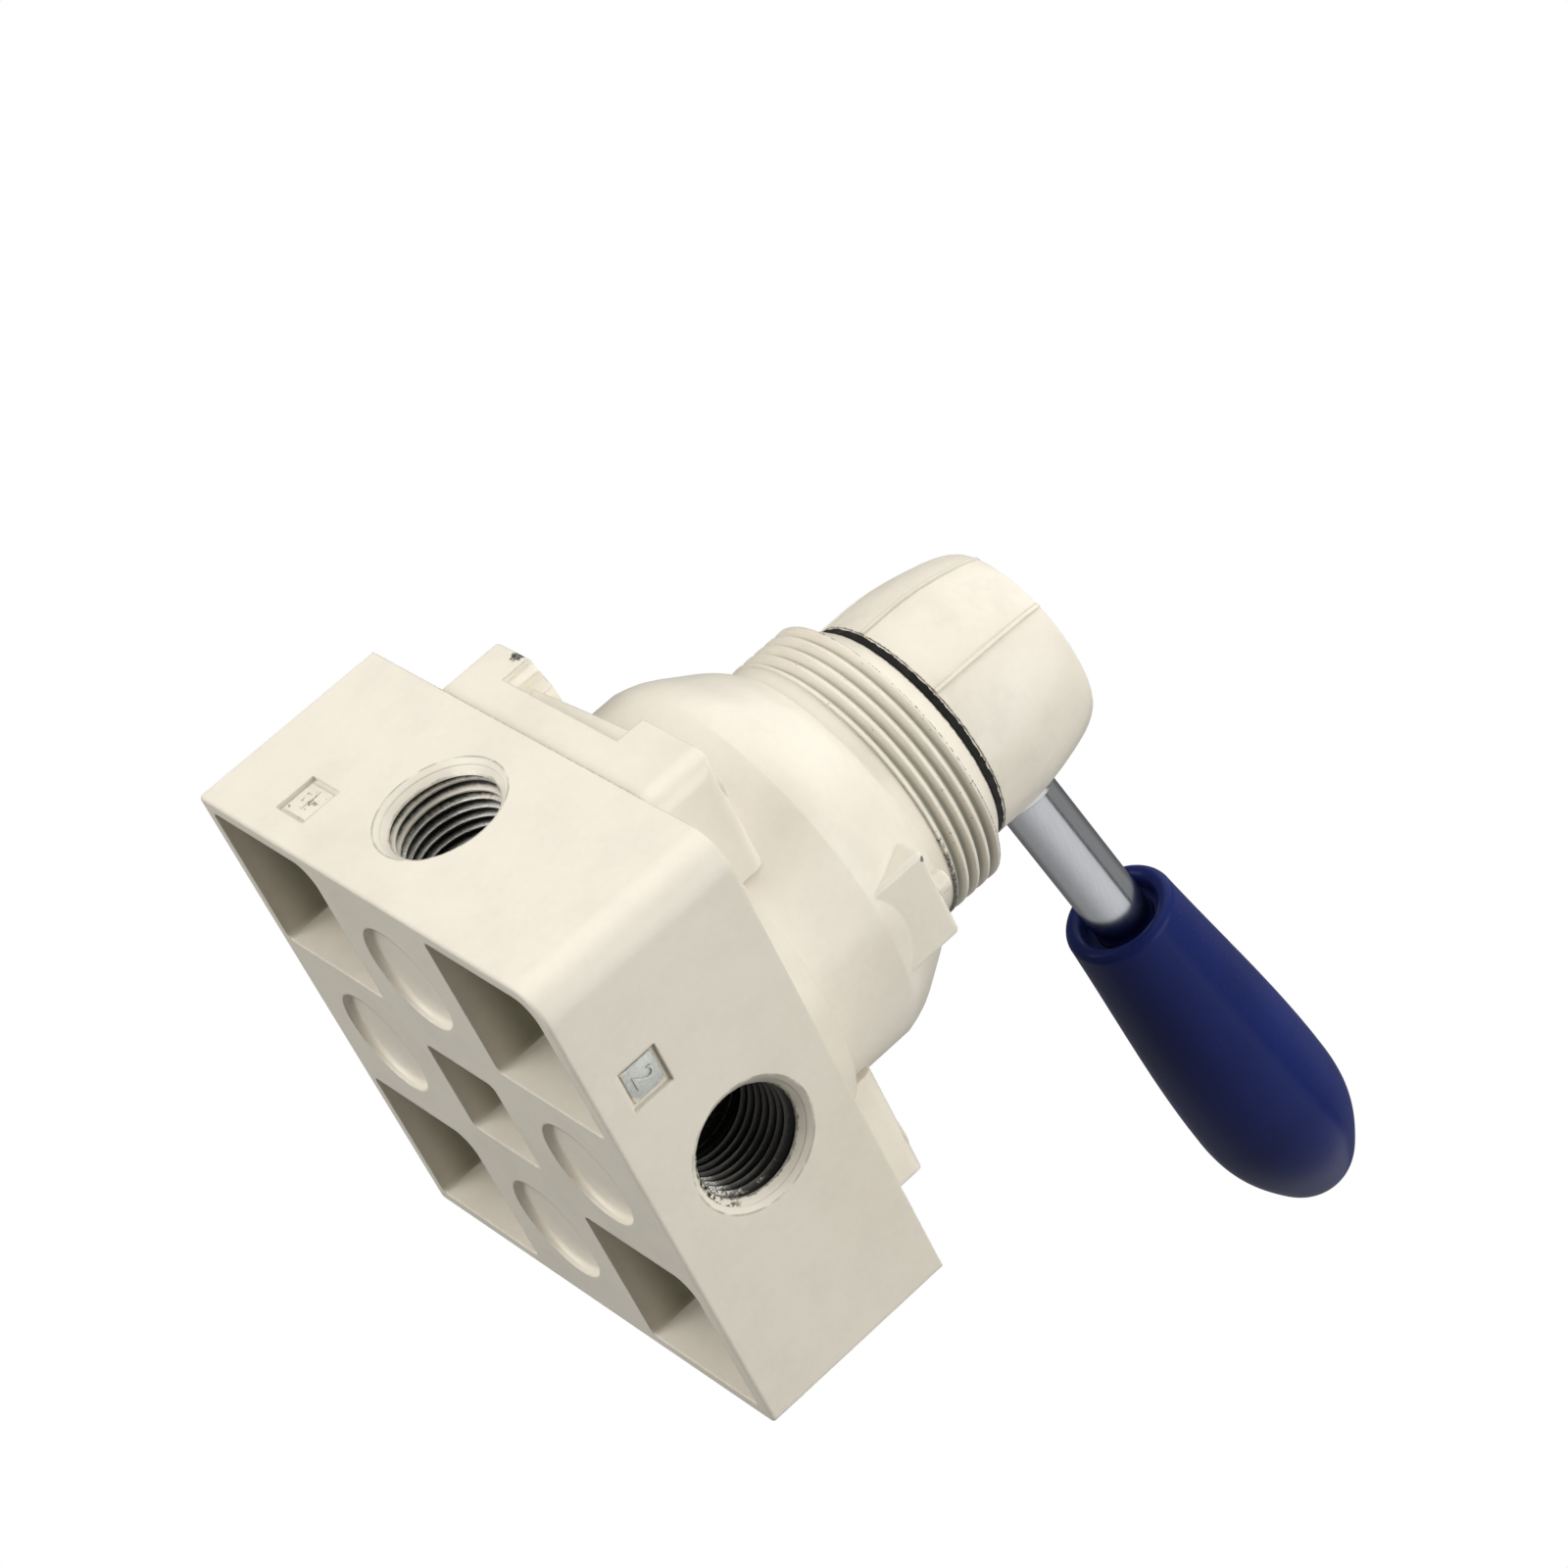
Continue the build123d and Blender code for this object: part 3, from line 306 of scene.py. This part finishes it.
def painted_base():
    """Cream paint on the port block, with bare metal down the port bores painted dark as shade, and
    painted shade in the underside's pockets.
    """
    finish = Finish("painted_base")
    x, y, z = finish.x, finish.y, finish.z
    colour, roughness, peel = paint_skin(finish)
    bare = 0.0
    rim = 0.0
    for side in SIDES:
        off, inward = finish.from_port(side)
        bore = off.rise(7.0, 6.9) * inward.rise(22.0, 20.0)
        bare = bare + bore * inward.rise(THREAD_START - 0.4, THREAD_START)
        rim = rim + abs(off - 7.2).rise(0.16, 0.04) * inward.rise(0.3, 0.2)
    seat = finish.around_z().rise(SEAT_RECESS_R, SEAT_RECESS_R - 0.1) * z.rise(16.0, 16.1)
    bare = (bare + seat).least(1.0)
    # Painted shade: bare metal down the bores and in the seat's recess is painted dark, as it lies
    # in shade
    colour, roughness = chipped(finish, colour, roughness, bare, BARE_METAL_IN_SHADE)
    # Painted shade: the paint is darkened down in the underside's pockets, where shade falls
    within = [abs(part).rise(POCKET_REACH, POCKET_REACH - 0.1) for part in (x, y)]
    deep = z.rise(0.6, 5.0) * within[0] * within[1] * (1 - bare)
    shade_and_dirt = finish.mix(colour, PAINTED_SHADE, deep * (0.1 + finish.noise(0.25, 3) * 0.2))
    # Painted shade: the pocket walls that face +X are darkened to olive, as they lie in deeper
    # shade
    shaded_walls = abs(x - CENTRE_POCKET_WALL).rise(0.4, 0.2) * abs(y).rise(6.2, 6.1)
    for wall in CORNER_POCKET_WALLS:
        shaded_walls = shaded_walls + abs(x - wall).rise(0.4, 0.2)
    shaded_walls = shaded_walls.least(1.0)
    shade_and_dirt = finish.mix(shade_and_dirt, OLIVE_WALL_SHADE, deep * shaded_walls * 0.7)
    # Painted shade: a ragged dark ring along the edge of each port's mouth
    shade_and_dirt = finish.mix(shade_and_dirt, PAINTED_SHADE, rim * finish.noise(0.5, 3).rise(0.35, 0.6) * 0.6)
    joint = abs(z - BASE_TOP).rise(0.12, 0.0) * finish.noise(1.5, 3).rise(0.4, 0.55)
    joint = joint * abs(y).rise(BASE_HALF - 0.4, BASE_HALF - 0.2) * abs(x).rise(18.4, 18.0)
    shade_and_dirt = finish.mix(shade_and_dirt, JOINT_DIRT, joint * 0.7)
    roughness = roughness + deep * 0.15
    return finish.surface(shade_and_dirt, roughness, bare, 0.12 * (1 - bare), peel, 0.02, 0.35)


def painted_cover():
    """Cream paint on the cover, chipped on the collar, with grime and painted shade in the collar's
    thread roots, and dark along its two joints.
    """
    finish = Finish("painted_cover")
    z = finish.z
    colour, roughness, peel = paint_skin(finish)
    ragged = finish.noise(1.3, 4, 0.65)
    out = finish.around_z()
    # 1 on the side where the paint has suffered most and -1 opposite; the painted shade in the
    # thread roots deepens towards it too
    worn_side = (finish.x * 0.62 + finish.y * 0.78) / COLLAR_R
    thread = z.rise(COLLAR_THREAD_START - 0.15, COLLAR_THREAD_START + 0.05)
    thread = thread * z.rise(COLLAR_THREAD_END + 0.2, COLLAR_THREAD_END)
    first = abs(z - (COLLAR_THREAD_START + 0.1)).rise(0.32, 0.1) * out.rise(15.9, 16.1)
    first = first * (ragged * 0.7 + worn_side * 0.6).rise(0.72, 0.82)
    last = abs(z - (COLLAR_THREAD_END + 0.02)).rise(0.16, 0.05) * out.rise(16.1, 16.3)
    last = last * (finish.noise(2.4, 3, 0.7) + worn_side * 0.05).rise(0.46, 0.56)
    nicks = out.rise(16.2, 16.3) * thread * finish.noise(2.0, 2, 0.6).rise(0.70, 0.73)
    chip = first.most(last).most(nicks)
    roots = thread * out.rise(16.42, 15.8) * out.rise(15.4, 15.5)
    inside = out.rise(CHAMBER_R, CHAMBER_R - 0.05) * z.rise(CHAMBER_ROOF_Z, CHAMBER_ROOF_Z - 0.1)
    spots = finish.near(-13.9, -28.7, 31.1, 1.1).most(finish.near(21.9, -4.8, 44.7, 0.35))
    chip = chip.most(spots)
    colour, roughness = chipped(finish, colour, roughness, chip.most(inside * 0.9))
    # Grime and painted shade: the thread roots are darkened, more so towards the worn side
    grime_and_shade = roots * (0.42 + worn_side * 0.45).most(0.0) * (1 - chip)
    colour = finish.mix(colour, THREAD_GRIME_AND_SHADE, grime_and_shade)
    # Rubber smear and painted shade: a dark ragged band at the collar's top, where the dust ring
    # shades it
    smear_and_shade = (z + ragged * 0.5).rise(COLLAR_TOP_Z, COLLAR_TOP_Z + 0.12) * out.rise(13.0, 13.2)
    colour = finish.mix(colour, RUBBER_SMEAR_AND_SHADE, smear_and_shade * 0.9)
    joint = (z - BASE_TOP).rise(0.27, 0.12) * finish.noise(0.35, 3).rise(0.36, 0.5)
    colour = finish.mix(colour, JOINT_SHADOW, joint * 0.9)
    metal = (chip * 0.5).most(inside * 0.9)
    return finish.surface(colour, roughness * 0.85, metal, 0.16 * (1 - metal), peel, 0.02, 0.35)


def painted_hub():
    """Cream paint on the hub, handled, chipped at its foot and bare down its screw's recess."""
    finish = Finish("painted_hub")
    z = finish.z
    colour, roughness, peel = paint_skin(finish)
    out = finish.around_z()
    ragged = finish.noise(1.4, 4, 0.65)
    foot = z.rise(HUB_FOOT_Z + 0.5, HUB_FOOT_Z + 0.2) * ragged.rise(0.66, 0.70)
    foot = foot * out.rise(12.0, 12.5)
    socket = out.rise(6.6, 6.5) * z.rise(72.0, 71.5)
    off, along = finish.from_rod()
    lip = off.rise(5.0, 4.9) * along.rise(13.75, 13.9)
    chip = foot.most(socket)
    handled = finish.noise(0.10, 4, 0.65).rise(0.48, 0.62)
    colour = finish.shaded(colour, 1 - handled * 0.06)
    colour, roughness = chipped(finish, colour, roughness, chip)
    # Rubber smear and painted shade: a dark ragged band at the hub's foot, beside the dust ring
    smear_and_shade = (z - ragged * 0.5).rise(HUB_FOOT_Z + 0.06, HUB_FOOT_Z - 0.06) * out.rise(12.6, 12.8)
    colour = finish.mix(colour, RUBBER_SMEAR_AND_SHADE, smear_and_shade * 0.9)
    colour = finish.mix(colour, POLISHED_METAL, lip)
    roughness = roughness * (1 - lip * 0.5)
    chip = chip.most(lip)
    return finish.surface(colour, roughness, chip, 0.12 * (1 - chip), peel, 0.02, 0.3)


def painted_pin():
    """Cream paint on the locating pin, rubbed thin at its top."""
    finish = Finish("painted_pin")
    colour, roughness, peel = paint_skin(finish)
    rub = finish.z.rise(PIN_TOP_Z - 0.5, PIN_TOP_Z) * finish.noise(1.2, 3).rise(0.5, 0.6) * 0.8
    colour, roughness = chipped(finish, colour, roughness, rub)
    return finish.surface(colour, roughness, rub, 0.25, peel, 0.03, 0.2)


def painted_screws():
    """Screws and washers painted over with the cover, rubbed bare in spots."""
    finish = Finish("painted_screws")
    colour, roughness, peel = paint_skin(finish)
    rub = finish.noise(1.2, 4, 0.6).rise(0.66, 0.72)
    colour, roughness = chipped(finish, colour, roughness, rub)
    return finish.surface(colour, roughness, rub, 0.1, peel, 0.03, 0.15)


def port_thread_metal(number, side):
    """Tapped aluminium: pale crests over roots painted nearly black as shade, with paint run over
    the start.

    The shaded port is painted dark as shade, but for a painted glint low down near its mouth.
    """
    # Painted light: shine sets how pale the crests are painted, low for the shaded port, and glint
    # paints a highlight low down near its mouth
    shine, glint, painted_depth = (0.07, 0.9, 2.4) if number == SHADED_GLINT_PORT else (0.56, 0.1, 4.4)
    finish = Finish("port_thread_metal_%d" % number)
    off, inward = finish.from_port(side)
    streak = finish.noise(1.1, 4, 0.7)
    pits = finish.noise(4.5, 3, 0.6)
    crest = (off + (streak - 0.5) * 0.5).rise(6.35, 5.85)
    low = (finish.z - PORT_Z).rise(-2.6, -4.8) * inward.rise(8.0, 5.0)
    tone = (low * glint * pits.rise(0.35, 0.6) + shine) * (0.6 + pits * 0.8)
    bright = finish.vector(tone, tone * 0.97, tone * 0.89)
    # Painted shade: the roots are painted nearly black
    colour = finish.mix((0.014, 0.014, 0.011), bright, crest * (0.35 + streak * 0.9).least(1.0))
    paint = (inward + (streak - 0.5) * 2.4).rise(painted_depth, painted_depth - 0.4) * 0.85
    colour = finish.mix(colour, CREAM_THIN, paint * crest)
    roughness = 0.5 - crest * 0.2 + pits * 0.2
    return finish.surface(colour, roughness, crest * (1 - paint), 0.0, pits, 0.05)


def port_mouth_paint(number, side):
    """Cream paint on a port's countersink, worn to grey metal at its inner edge."""
    finish = Finish("port_mouth_paint_%d" % number)
    colour, roughness, peel = paint_skin(finish)
    off, _ = finish.from_port(side)
    worn_and_glint = (off + (finish.noise(0.9, 4, 0.65) - 0.5) * 0.5).rise(6.08, 5.98)
    worn_and_glint = worn_and_glint * (0.75 if number == SHADED_GLINT_PORT else 0.35)
    if number == SHADED_GLINT_PORT:
        # Painted glint: bare metal laid low down, where light glints in the mouth
        rubbed_glint = (finish.z - PORT_Z).rise(-3.2, -4.6) * finish.noise(1.6, 4, 0.7).rise(0.46, 0.54)
        worn_and_glint = worn_and_glint.most(rubbed_glint * off.rise(6.9, 6.6))
    colour, roughness = chipped(finish, colour, roughness, worn_and_glint)
    return finish.surface(colour, roughness, worn_and_glint, 0.2 * (1 - worn_and_glint), peel, 0.03)


def mark_metal():
    """Bare cast plate of a port's number, with traces of paint."""
    finish = Finish("mark_metal")
    grain = finish.noise(2.6, 4, 0.65)
    paint = finish.noise(0.7, 3).rise(0.60, 0.66)
    colour = finish.mix((0.42, 0.43, 0.40), (0.52, 0.53, 0.50), grain.rise(0.35, 0.65))
    colour = finish.mix(colour, CREAM, paint)
    roughness = 0.42 + grain * 0.2
    return finish.surface(colour, roughness, (1 - paint) * 0.5, 0.0, grain, 0.05, 0.08)


def mark_paint():
    """A number plate that the cream paint covers, rubbed thin in spots."""
    finish = Finish("mark_paint")
    colour, roughness, peel = paint_skin(finish)
    rub = finish.noise(1.4, 4, 0.6).rise(0.60, 0.66) * 0.8
    colour, roughness = chipped(finish, colour, roughness, rub)
    return finish.surface(colour, roughness, rub, 0.2, peel, 0.04, 0.08)


def satin_chrome():
    """Rod drawn and plated, with fine lines along it."""
    finish = Finish("satin_chrome")
    grain = finish.vector(finish.x * 5.0, finish.y * 0.2, finish.z * 5.0)
    drawn = finish.noise(1.0, 3, 0.6, grain)
    haze = finish.noise(0.15, 2)
    colour = finish.mix((0.445, 0.455, 0.475), (0.475, 0.485, 0.505), drawn.rise(0.3, 0.7))
    roughness = 0.15 + haze * 0.05 + drawn * 0.03
    return finish.surface(colour, roughness, 1.0, 0.0, drawn, 0.003)


def blue_plastic():
    """Moulded blue grip: glossy, with faint flow marks and fine handling scuffs."""
    finish = Finish("blue_plastic")
    flow = finish.noise(0.05, 3)
    skin = finish.noise(0.35, 2)
    scuff = finish.noise(1.1, 4, 0.7, finish.vector(finish.x * 0.4, finish.y, finish.z * 2.5))
    colour = finish.mix((0.0070, 0.0135, 0.085), (0.0090, 0.0175, 0.110), flow.rise(0.3, 0.7))
    roughness = 0.24 + skin * 0.05 + scuff.rise(0.62, 0.75) * 0.12
    sheen = {"Specular IOR Level": 0.09}
    return finish.surface(colour, roughness, 0.0, 0.0, skin, 0.008, **sheen)


def black_rubber():
    """Matt black rubber, slightly dusty."""
    finish = Finish("black_rubber")
    dust = finish.noise(0.8, 3)
    grain = finish.noise(4.0, 2)
    colour = finish.mix((0.012, 0.012, 0.012), (0.035, 0.034, 0.032), dust.rise(0.4, 0.7))
    return finish.surface(colour, 0.55 + grain * 0.2, 0.0, 0.0, grain, 0.03)


def dust_ring_rubber():
    """The black ring between collar and hub, with paint run onto its edges."""
    finish = Finish("dust_ring_rubber")
    ragged = finish.noise(1.0, 4, 0.65)
    dust = finish.noise(0.8, 3)
    colour = finish.mix((0.006, 0.006, 0.005), (0.022, 0.019, 0.017), dust.rise(0.45, 0.75))
    run = (finish.z - (HUB_FOOT_Z - 0.08) + (ragged - 0.5) * 0.7).rise(0.10, 0.16)
    colour = finish.mix(colour, CREAM, run * 0.85)
    sheen = {"Specular IOR Level": 0.2}
    return finish.surface(colour, 0.6 + dust * 0.2, 0.0, 0.0, ragged, 0.04, **sheen)


def turned_metal(name, dark, light, rough):
    """Metal turned on a lathe: fine rings about its axis and soft blotches."""
    finish = Finish(name)
    ring = finish.noise(1.0, 3, 0.6, finish.vector(finish.around_z() * 6.0, finish.z * 6.0, 0.0))
    blotch = finish.noise(0.25, 3)
    colour = finish.mix(dark, light, (ring * 0.6 + blotch * 0.4).rise(0.3, 0.7))
    roughness = rough + ring * 0.12
    return finish.surface(colour, roughness, 1.0, 0.0, ring, 0.01, 0.12)


def zinc_plate():
    """Bright zinc on screws and washers, with a faint yellow and blue cast."""
    finish = Finish("zinc_plate")
    cast = finish.noise(0.5, 3)
    grain = finish.noise(3.0, 3)
    colour = finish.mix((0.58, 0.56, 0.49), (0.57, 0.61, 0.66), cast.rise(0.35, 0.65))
    colour = finish.shaded(colour, 0.9 + grain * 0.2)
    return finish.surface(colour, 0.26 + grain * 0.16, 1.0, 0.0, grain, 0.015, 0.15)


def bearing_plastic():
    """Off-white bearing plastic, faintly turned."""
    finish = Finish("bearing_plastic")
    ring = finish.noise(1.0, 2, 0.5, finish.vector(finish.around_z() * 5.0, finish.z * 5.0, 0.0))
    colour = finish.mix((0.70, 0.68, 0.62), (0.80, 0.78, 0.73), finish.noise(0.3, 3))
    return finish.surface(colour, 0.42 + ring * 0.12, 0.0, 0.0, ring, 0.015, 0.1)


screw_paint = painted_screws()
NODE_FINISHES = {
    "base_body": painted_base(),
    "cover": painted_cover(),
    "hub": painted_hub(),
    "locating_pin": painted_pin(),
    "cover_screws": screw_paint,
    "cover_washers": screw_paint,
    "dust_ring": dust_ring_rubber(),
    "lever_rod": satin_chrome(),
    "grip": blue_plastic(),
}
SLOT_FINISHES = {
    "black_rubber": black_rubber(),
    "machined_aluminium": turned_metal(
        "lapped_aluminium", (0.55, 0.55, 0.56), (0.74, 0.74, 0.75), 0.24
    ),
    "plain_steel": turned_metal("machined_steel", (0.36, 0.36, 0.37), (0.56, 0.56, 0.57), 0.26),
    "zinc_steel": zinc_plate(),
    "bearing_plastic": bearing_plastic(),
    "brass": turned_metal("turned_brass", (0.42, 0.30, 0.12), (0.66, 0.50, 0.24), 0.28),
}


def dress_nodes():
    """Give every CAD node its own finish, or its slot's."""
    slots = {part["node"]: part["material_slot"] for part in frame["record"]["subparts"]}
    for name, node in frame["nodes"].items():
        finish = NODE_FINISHES.get(name) or SLOT_FINISHES[slots[name]]
        node.data.materials.clear()
        node.data.materials.append(finish)


def placed(name, data):
    """An object linked to the scene."""
    made = bpy.data.objects.new(name, data)
    bpy.context.scene.collection.objects.link(made)
    return made


def body_piece(name, data, finish):
    """A finished mesh on the valve's body, smooth but for edges sharper than 35 degrees."""
    data.materials.append(finish)
    data.polygons.foreach_set("use_smooth", [True] * len(data.polygons))
    data.set_sharp_from_angle(angle=math.radians(35.0))
    made = placed(name, data)
    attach(made, "valve_body")


def ring_row(mesh, angle, profile):
    """The points of a profile of radius and height, turned about Z, in millimetres."""
    return [
        mesh.verts.new(Vector((r * math.cos(angle), r * math.sin(angle), z)) * MM)
        for r, z in profile
    ]


def skin_rows(mesh, rows, ring=False):
    """Faces from each row of four points to the next, joined into a ring or capped."""
    for row, following in zip(rows, rows[1:] + rows[:1] if ring else rows[1:]):
        for corner in range(4):
            after = (corner + 1) % 4
            mesh.faces.new((row[corner], row[after], following[after], following[corner]))
    if not ring:
        mesh.faces.new(rows[0][::-1])
        mesh.faces.new(rows[-1])
    bmesh.ops.recalc_face_normals(mesh, faces=mesh.faces)


def mesh_data(mesh, name, place):
    """The finished mesh in its place on the valve."""
    mesh.transform(place)
    data = bpy.data.meshes.new(name)
    mesh.to_mesh(data)
    mesh.free()
    return data


def side_place(turn, along, z):
    """Matrix of a side's own frame: X along the side, Y up and Z out of the face."""
    out_of_face = Matrix(((1, 0, 0, 0), (0, 0, -1, 0), (0, 1, 0, 0), (0, 0, 0, 1)))
    shift = Matrix.Translation(Vector((along, -BASE_HALF, z)) * MM)
    return Matrix.Rotation(math.radians(turn), 4, "Z") @ shift @ out_of_face


def port_thread(number, turn, along):
    """Helical thread of one port, as a closed ridge on the bore's wall."""
    rng = random.Random(40 + number)
    steps = 72
    turns = THREAD_LENGTH / THREAD_PITCH
    count = int(turns * steps)
    wobble = [rng.uniform(-1.0, 1.0) for _ in range(count // 6 + 3)]
    half = THREAD_PITCH * 0.46
    mesh = bmesh.new()
    rows = []
    for step in range(count + 1):
        angle = 2 * math.pi * step / steps
        depth = THREAD_START + half + (THREAD_LENGTH - 2 * half) * step / count
        place = step / 6
        low = int(place)
        rough = wobble[low] + (wobble[low + 1] - wobble[low]) * (place - low)
        lead_in = min(1.0, 0.25 + step / (0.9 * steps))
        run_out = min(1.0, (count - step) / (0.7 * steps))
        height = (THREAD_WALL_R - THREAD_MINOR_R) * lead_in * run_out + rough * 0.035
        crest = THREAD_WALL_R - max(height, 0.05)
        flat = 0.09 + rough * 0.025
        profile = (
            (THREAD_WALL_R, half - depth),
            (THREAD_WALL_R, -half - depth),
            (crest, -flat - depth),
            (crest, flat - depth),
        )
        rows.append(ring_row(mesh, angle, profile))
    skin_rows(mesh, rows)
    return mesh_data(mesh, "port_thread_%d" % number, side_place(turn, along, PORT_Z))


def port_mouth(number, turn, along):
    """Inner part of a port's countersink, from the drilled mouth in to the thread's crests."""
    rng = random.Random(60 + number)
    steps = 96
    mesh = bmesh.new()
    rows = []
    for step in range(steps):
        angle = 2 * math.pi * step / steps
        rough = rng.uniform(-0.03, 0.03)
        profile = (
            (THREAD_WALL_R, -PORT_MOUTH_DEPTH),
            (6.1 + rough / 2, -1.0),
            (5.9 + rough, -1.3 - rough),
            (THREAD_WALL_R, -1.9),
        )
        rows.append(ring_row(mesh, angle, profile))
    skin_rows(mesh, rows, ring=True)
    return mesh_data(mesh, "port_mouth_%d" % number, side_place(turn, along, PORT_Z))


def number_plate(number, turn, along):
    """Raised plate in a sunk mark, its edge chamfered."""
    mesh = bmesh.new()
    rows = []
    for half, z in ((1.95, 0.0), (1.95, 0.14), (1.75, 0.24)):
        corners = ((-half, -half), (half, -half), (half, half), (-half, half))
        rows.append([mesh.verts.new(Vector((x, y, z - MARK_DEPTH)) * MM) for x, y in corners])
    skin_rows(mesh, rows)
    return mesh_data(mesh, "mark_plate_%d" % number, side_place(turn, along, MARK_Z))


def numeral(number, turn, along):
    """The port's plain number, raised on its plate."""
    curve = bpy.data.curves.new("numeral", "FONT")
    curve.body = str(number)
    curve.size = 3.6 * MM
    curve.extrude = 0.08 * MM
    curve.bevel_depth = 0.03 * MM
    curve.bevel_resolution = 1
    curve.align_x = "CENTER"
    curve.align_y = "CENTER"
    holder = placed("numeral_holder", curve)
    bpy.context.view_layer.update()
    shape = holder.evaluated_get(bpy.context.evaluated_depsgraph_get())
    data = bpy.data.meshes.new_from_object(shape)
    bpy.data.objects.remove(holder)
    data.name = "mark_number_%d" % number
    rise = Matrix.Translation((0, 0, (0.30 - MARK_DEPTH) * MM))
    data.transform(side_place(turn, along, MARK_Z) @ rise)
    return data


def add_head_walls():
    """Thin walls that part a slim post's flute from the sunk head of the screw beside it."""
    for number, turn in ((1, 0.0), (2, math.pi)):
        mesh = bmesh.new()
        angles = [math.radians(POST_FLUTE_ANGLE - 18.0 + 3.0 * step) for step in range(13)]
        skin_rows(mesh, [ring_row(mesh, angle, HEAD_WALL) for angle in angles])
        place = Matrix.Rotation(turn, 4, "Z") @ Matrix.Translation(Vector(POST_SCREW) * MM)
        name = "flute_wall_%d" % number
        body_piece(name, mesh_data(mesh, name, place), NODE_FINISHES["cover"])


def add_port_details():
    """Threads, mouths, number plates and numbers of the four ports."""
    plain = mark_metal()
    painted = mark_paint()
    for number, side in enumerate(SIDES, 1):
        turn, port, mark = side
        thread_metal = port_thread_metal(number, side)
        mouth_paint = port_mouth_paint(number, side)
        plate_finish = plain if number in BARE_PLATES else painted
        for name, data, finish, slot in (
            ("port_thread", port_thread(number, turn, port), thread_metal, "machined_aluminium"),
            ("port_mouth", port_mouth(number, turn, port), mouth_paint, "cream_paint"),
            ("mark_plate", number_plate(number, turn, mark), plate_finish, "cream_paint"),
            ("mark_number", numeral(number, turn, mark), plate_finish, "cream_paint"),
        ):
            body_piece("%s_%d" % (name, number), data, finish)


def add_camera():
    """The camera at the photograph's angle, under the base and looking up at it."""
    back = CAMERA_BACK.normalized()
    right = CAMERA_UP.cross(back).normalized()
    view = bpy.data.cameras.new("camera")
    view.lens = CAMERA_LENS
    view.sensor_width = 36.0
    camera = placed("camera", view)
    turn = Matrix((right, back.cross(right), back)).transposed().to_4x4()
    camera.matrix_world = Matrix.Translation(CAMERA_PLACE) @ turn
    bpy.context.scene.camera = camera
    return camera


def add_lamps(camera):
    """Soft square lamps, placed by the camera's right, up and back from the valve's middle."""
    for name, (direction, size, power, mirrored) in LAMPS.items():
        away = (camera.matrix_world.to_3x3() @ Vector(direction)).normalized()
        lamp = bpy.data.lights.new(name, "AREA")
        lamp.size = size
        lamp.energy = power
        holder = placed(name, lamp)
        facing = away.to_track_quat("Z", "Y").to_matrix().to_4x4()
        holder.matrix_world = Matrix.Translation(VALVE_MIDDLE + away * LAMP_DISTANCE) @ facing
        holder.visible_glossy = mirrored


def add_floor():
    """Pale floor under the base. It is one-sided, so it hides nothing from below."""
    half = 1200.0
    mesh = bmesh.new()
    corners = ((-half, -half), (half, -half), (half, half), (-half, half))
    mesh.faces.new([mesh.verts.new(Vector((x, y, -0.3)) * MM) for x, y in corners])
    bmesh.ops.subdivide_edges(mesh, edges=mesh.edges, cuts=3, use_grid_fill=True)
    floor = placed("floor", mesh_data(mesh, "floor", Matrix()))
    finish = Finish("pale_floor")
    tone = 0.86 + finish.noise(0.004, 2) * 0.03
    diffuse = finish.node("ShaderNodeBsdfDiffuse", None, {"Color": finish.vector(tone, tone, tone)})
    clear = finish.node("ShaderNodeBsdfTransparent")
    behind = finish.node("ShaderNodeNewGeometry", output="Backfacing")
    gone = behind.most(finish.around_z().rise(150.0, 380.0))
    shader = finish.node("ShaderNodeMixShader", None, {0: gone, 1: diffuse, 2: clear})
    finish.node("ShaderNodeOutputMaterial", None, {"Surface": shader})
    floor.data.materials.append(finish.material)
    floor.visible_diffuse = False
    floor.visible_glossy = False
    floor.visible_transmission = False
    floor.visible_shadow = False


def add_world():
    """White surroundings for the eye, plainer light for the valve, and a studio to reflect.

    The studio is bright towards the image's lower right, grey elsewhere, with a thin dark
    edge between the two that draws the line along the lever rod.
    """
    world = bpy.data.worlds.new("studio")
    bpy.context.scene.world = world
    nodes = Nodes(world)
    way = nodes.node("ShaderNodeTexCoord", output="Generated")
    right = nodes.dot(way, CAMERA_RIGHT)
    up = nodes.dot(way, CAMERA_UP)
    bright = up.rise(-0.24, -0.27) * right.rise(-0.5, 0.8)
    dark = abs(up + 0.20).rise(0.06, 0.045) * right.rise(0.8, 0.85)
    behind = nodes.dot(way, CAMERA_BACK).rise(-0.55, -0.9)
    level = (0.40 + bright * 0.68) * (1 - dark * 0.85) * (1 - behind * 0.6)
    grey = nodes.vector(level, level, level)
    reflected = nodes.node("ShaderNodeBackground", None, {"Color": grey})
    white = nodes.node("ShaderNodeBackground", None, {"Color": (1.0, 1.0, 1.0, 1.0)})
    plain = {"Color": (1.0, 0.99, 0.97, 1.0), "Strength": WORLD_LEVEL}
    lit = nodes.node("ShaderNodeBackground", None, plain)
    glossy = nodes.node("ShaderNodeLightPath", output="Is Glossy Ray")
    seen = nodes.node("ShaderNodeLightPath", output="Is Camera Ray")
    through = nodes.node("ShaderNodeLightPath", output="Is Transmission Ray")
    shade = nodes.node("ShaderNodeMixShader", None, {0: glossy, 1: lit, 2: reflected})
    shade = nodes.node("ShaderNodeMixShader", None, {0: seen.most(through), 1: shade, 2: white})
    nodes.node("ShaderNodeOutputWorld", None, {"Surface": shade})


dress_nodes()
add_port_details()
add_head_walls()
add_lamps(add_camera())
add_floor()
add_world()
bpy.context.scene.view_settings.view_transform = "Standard"
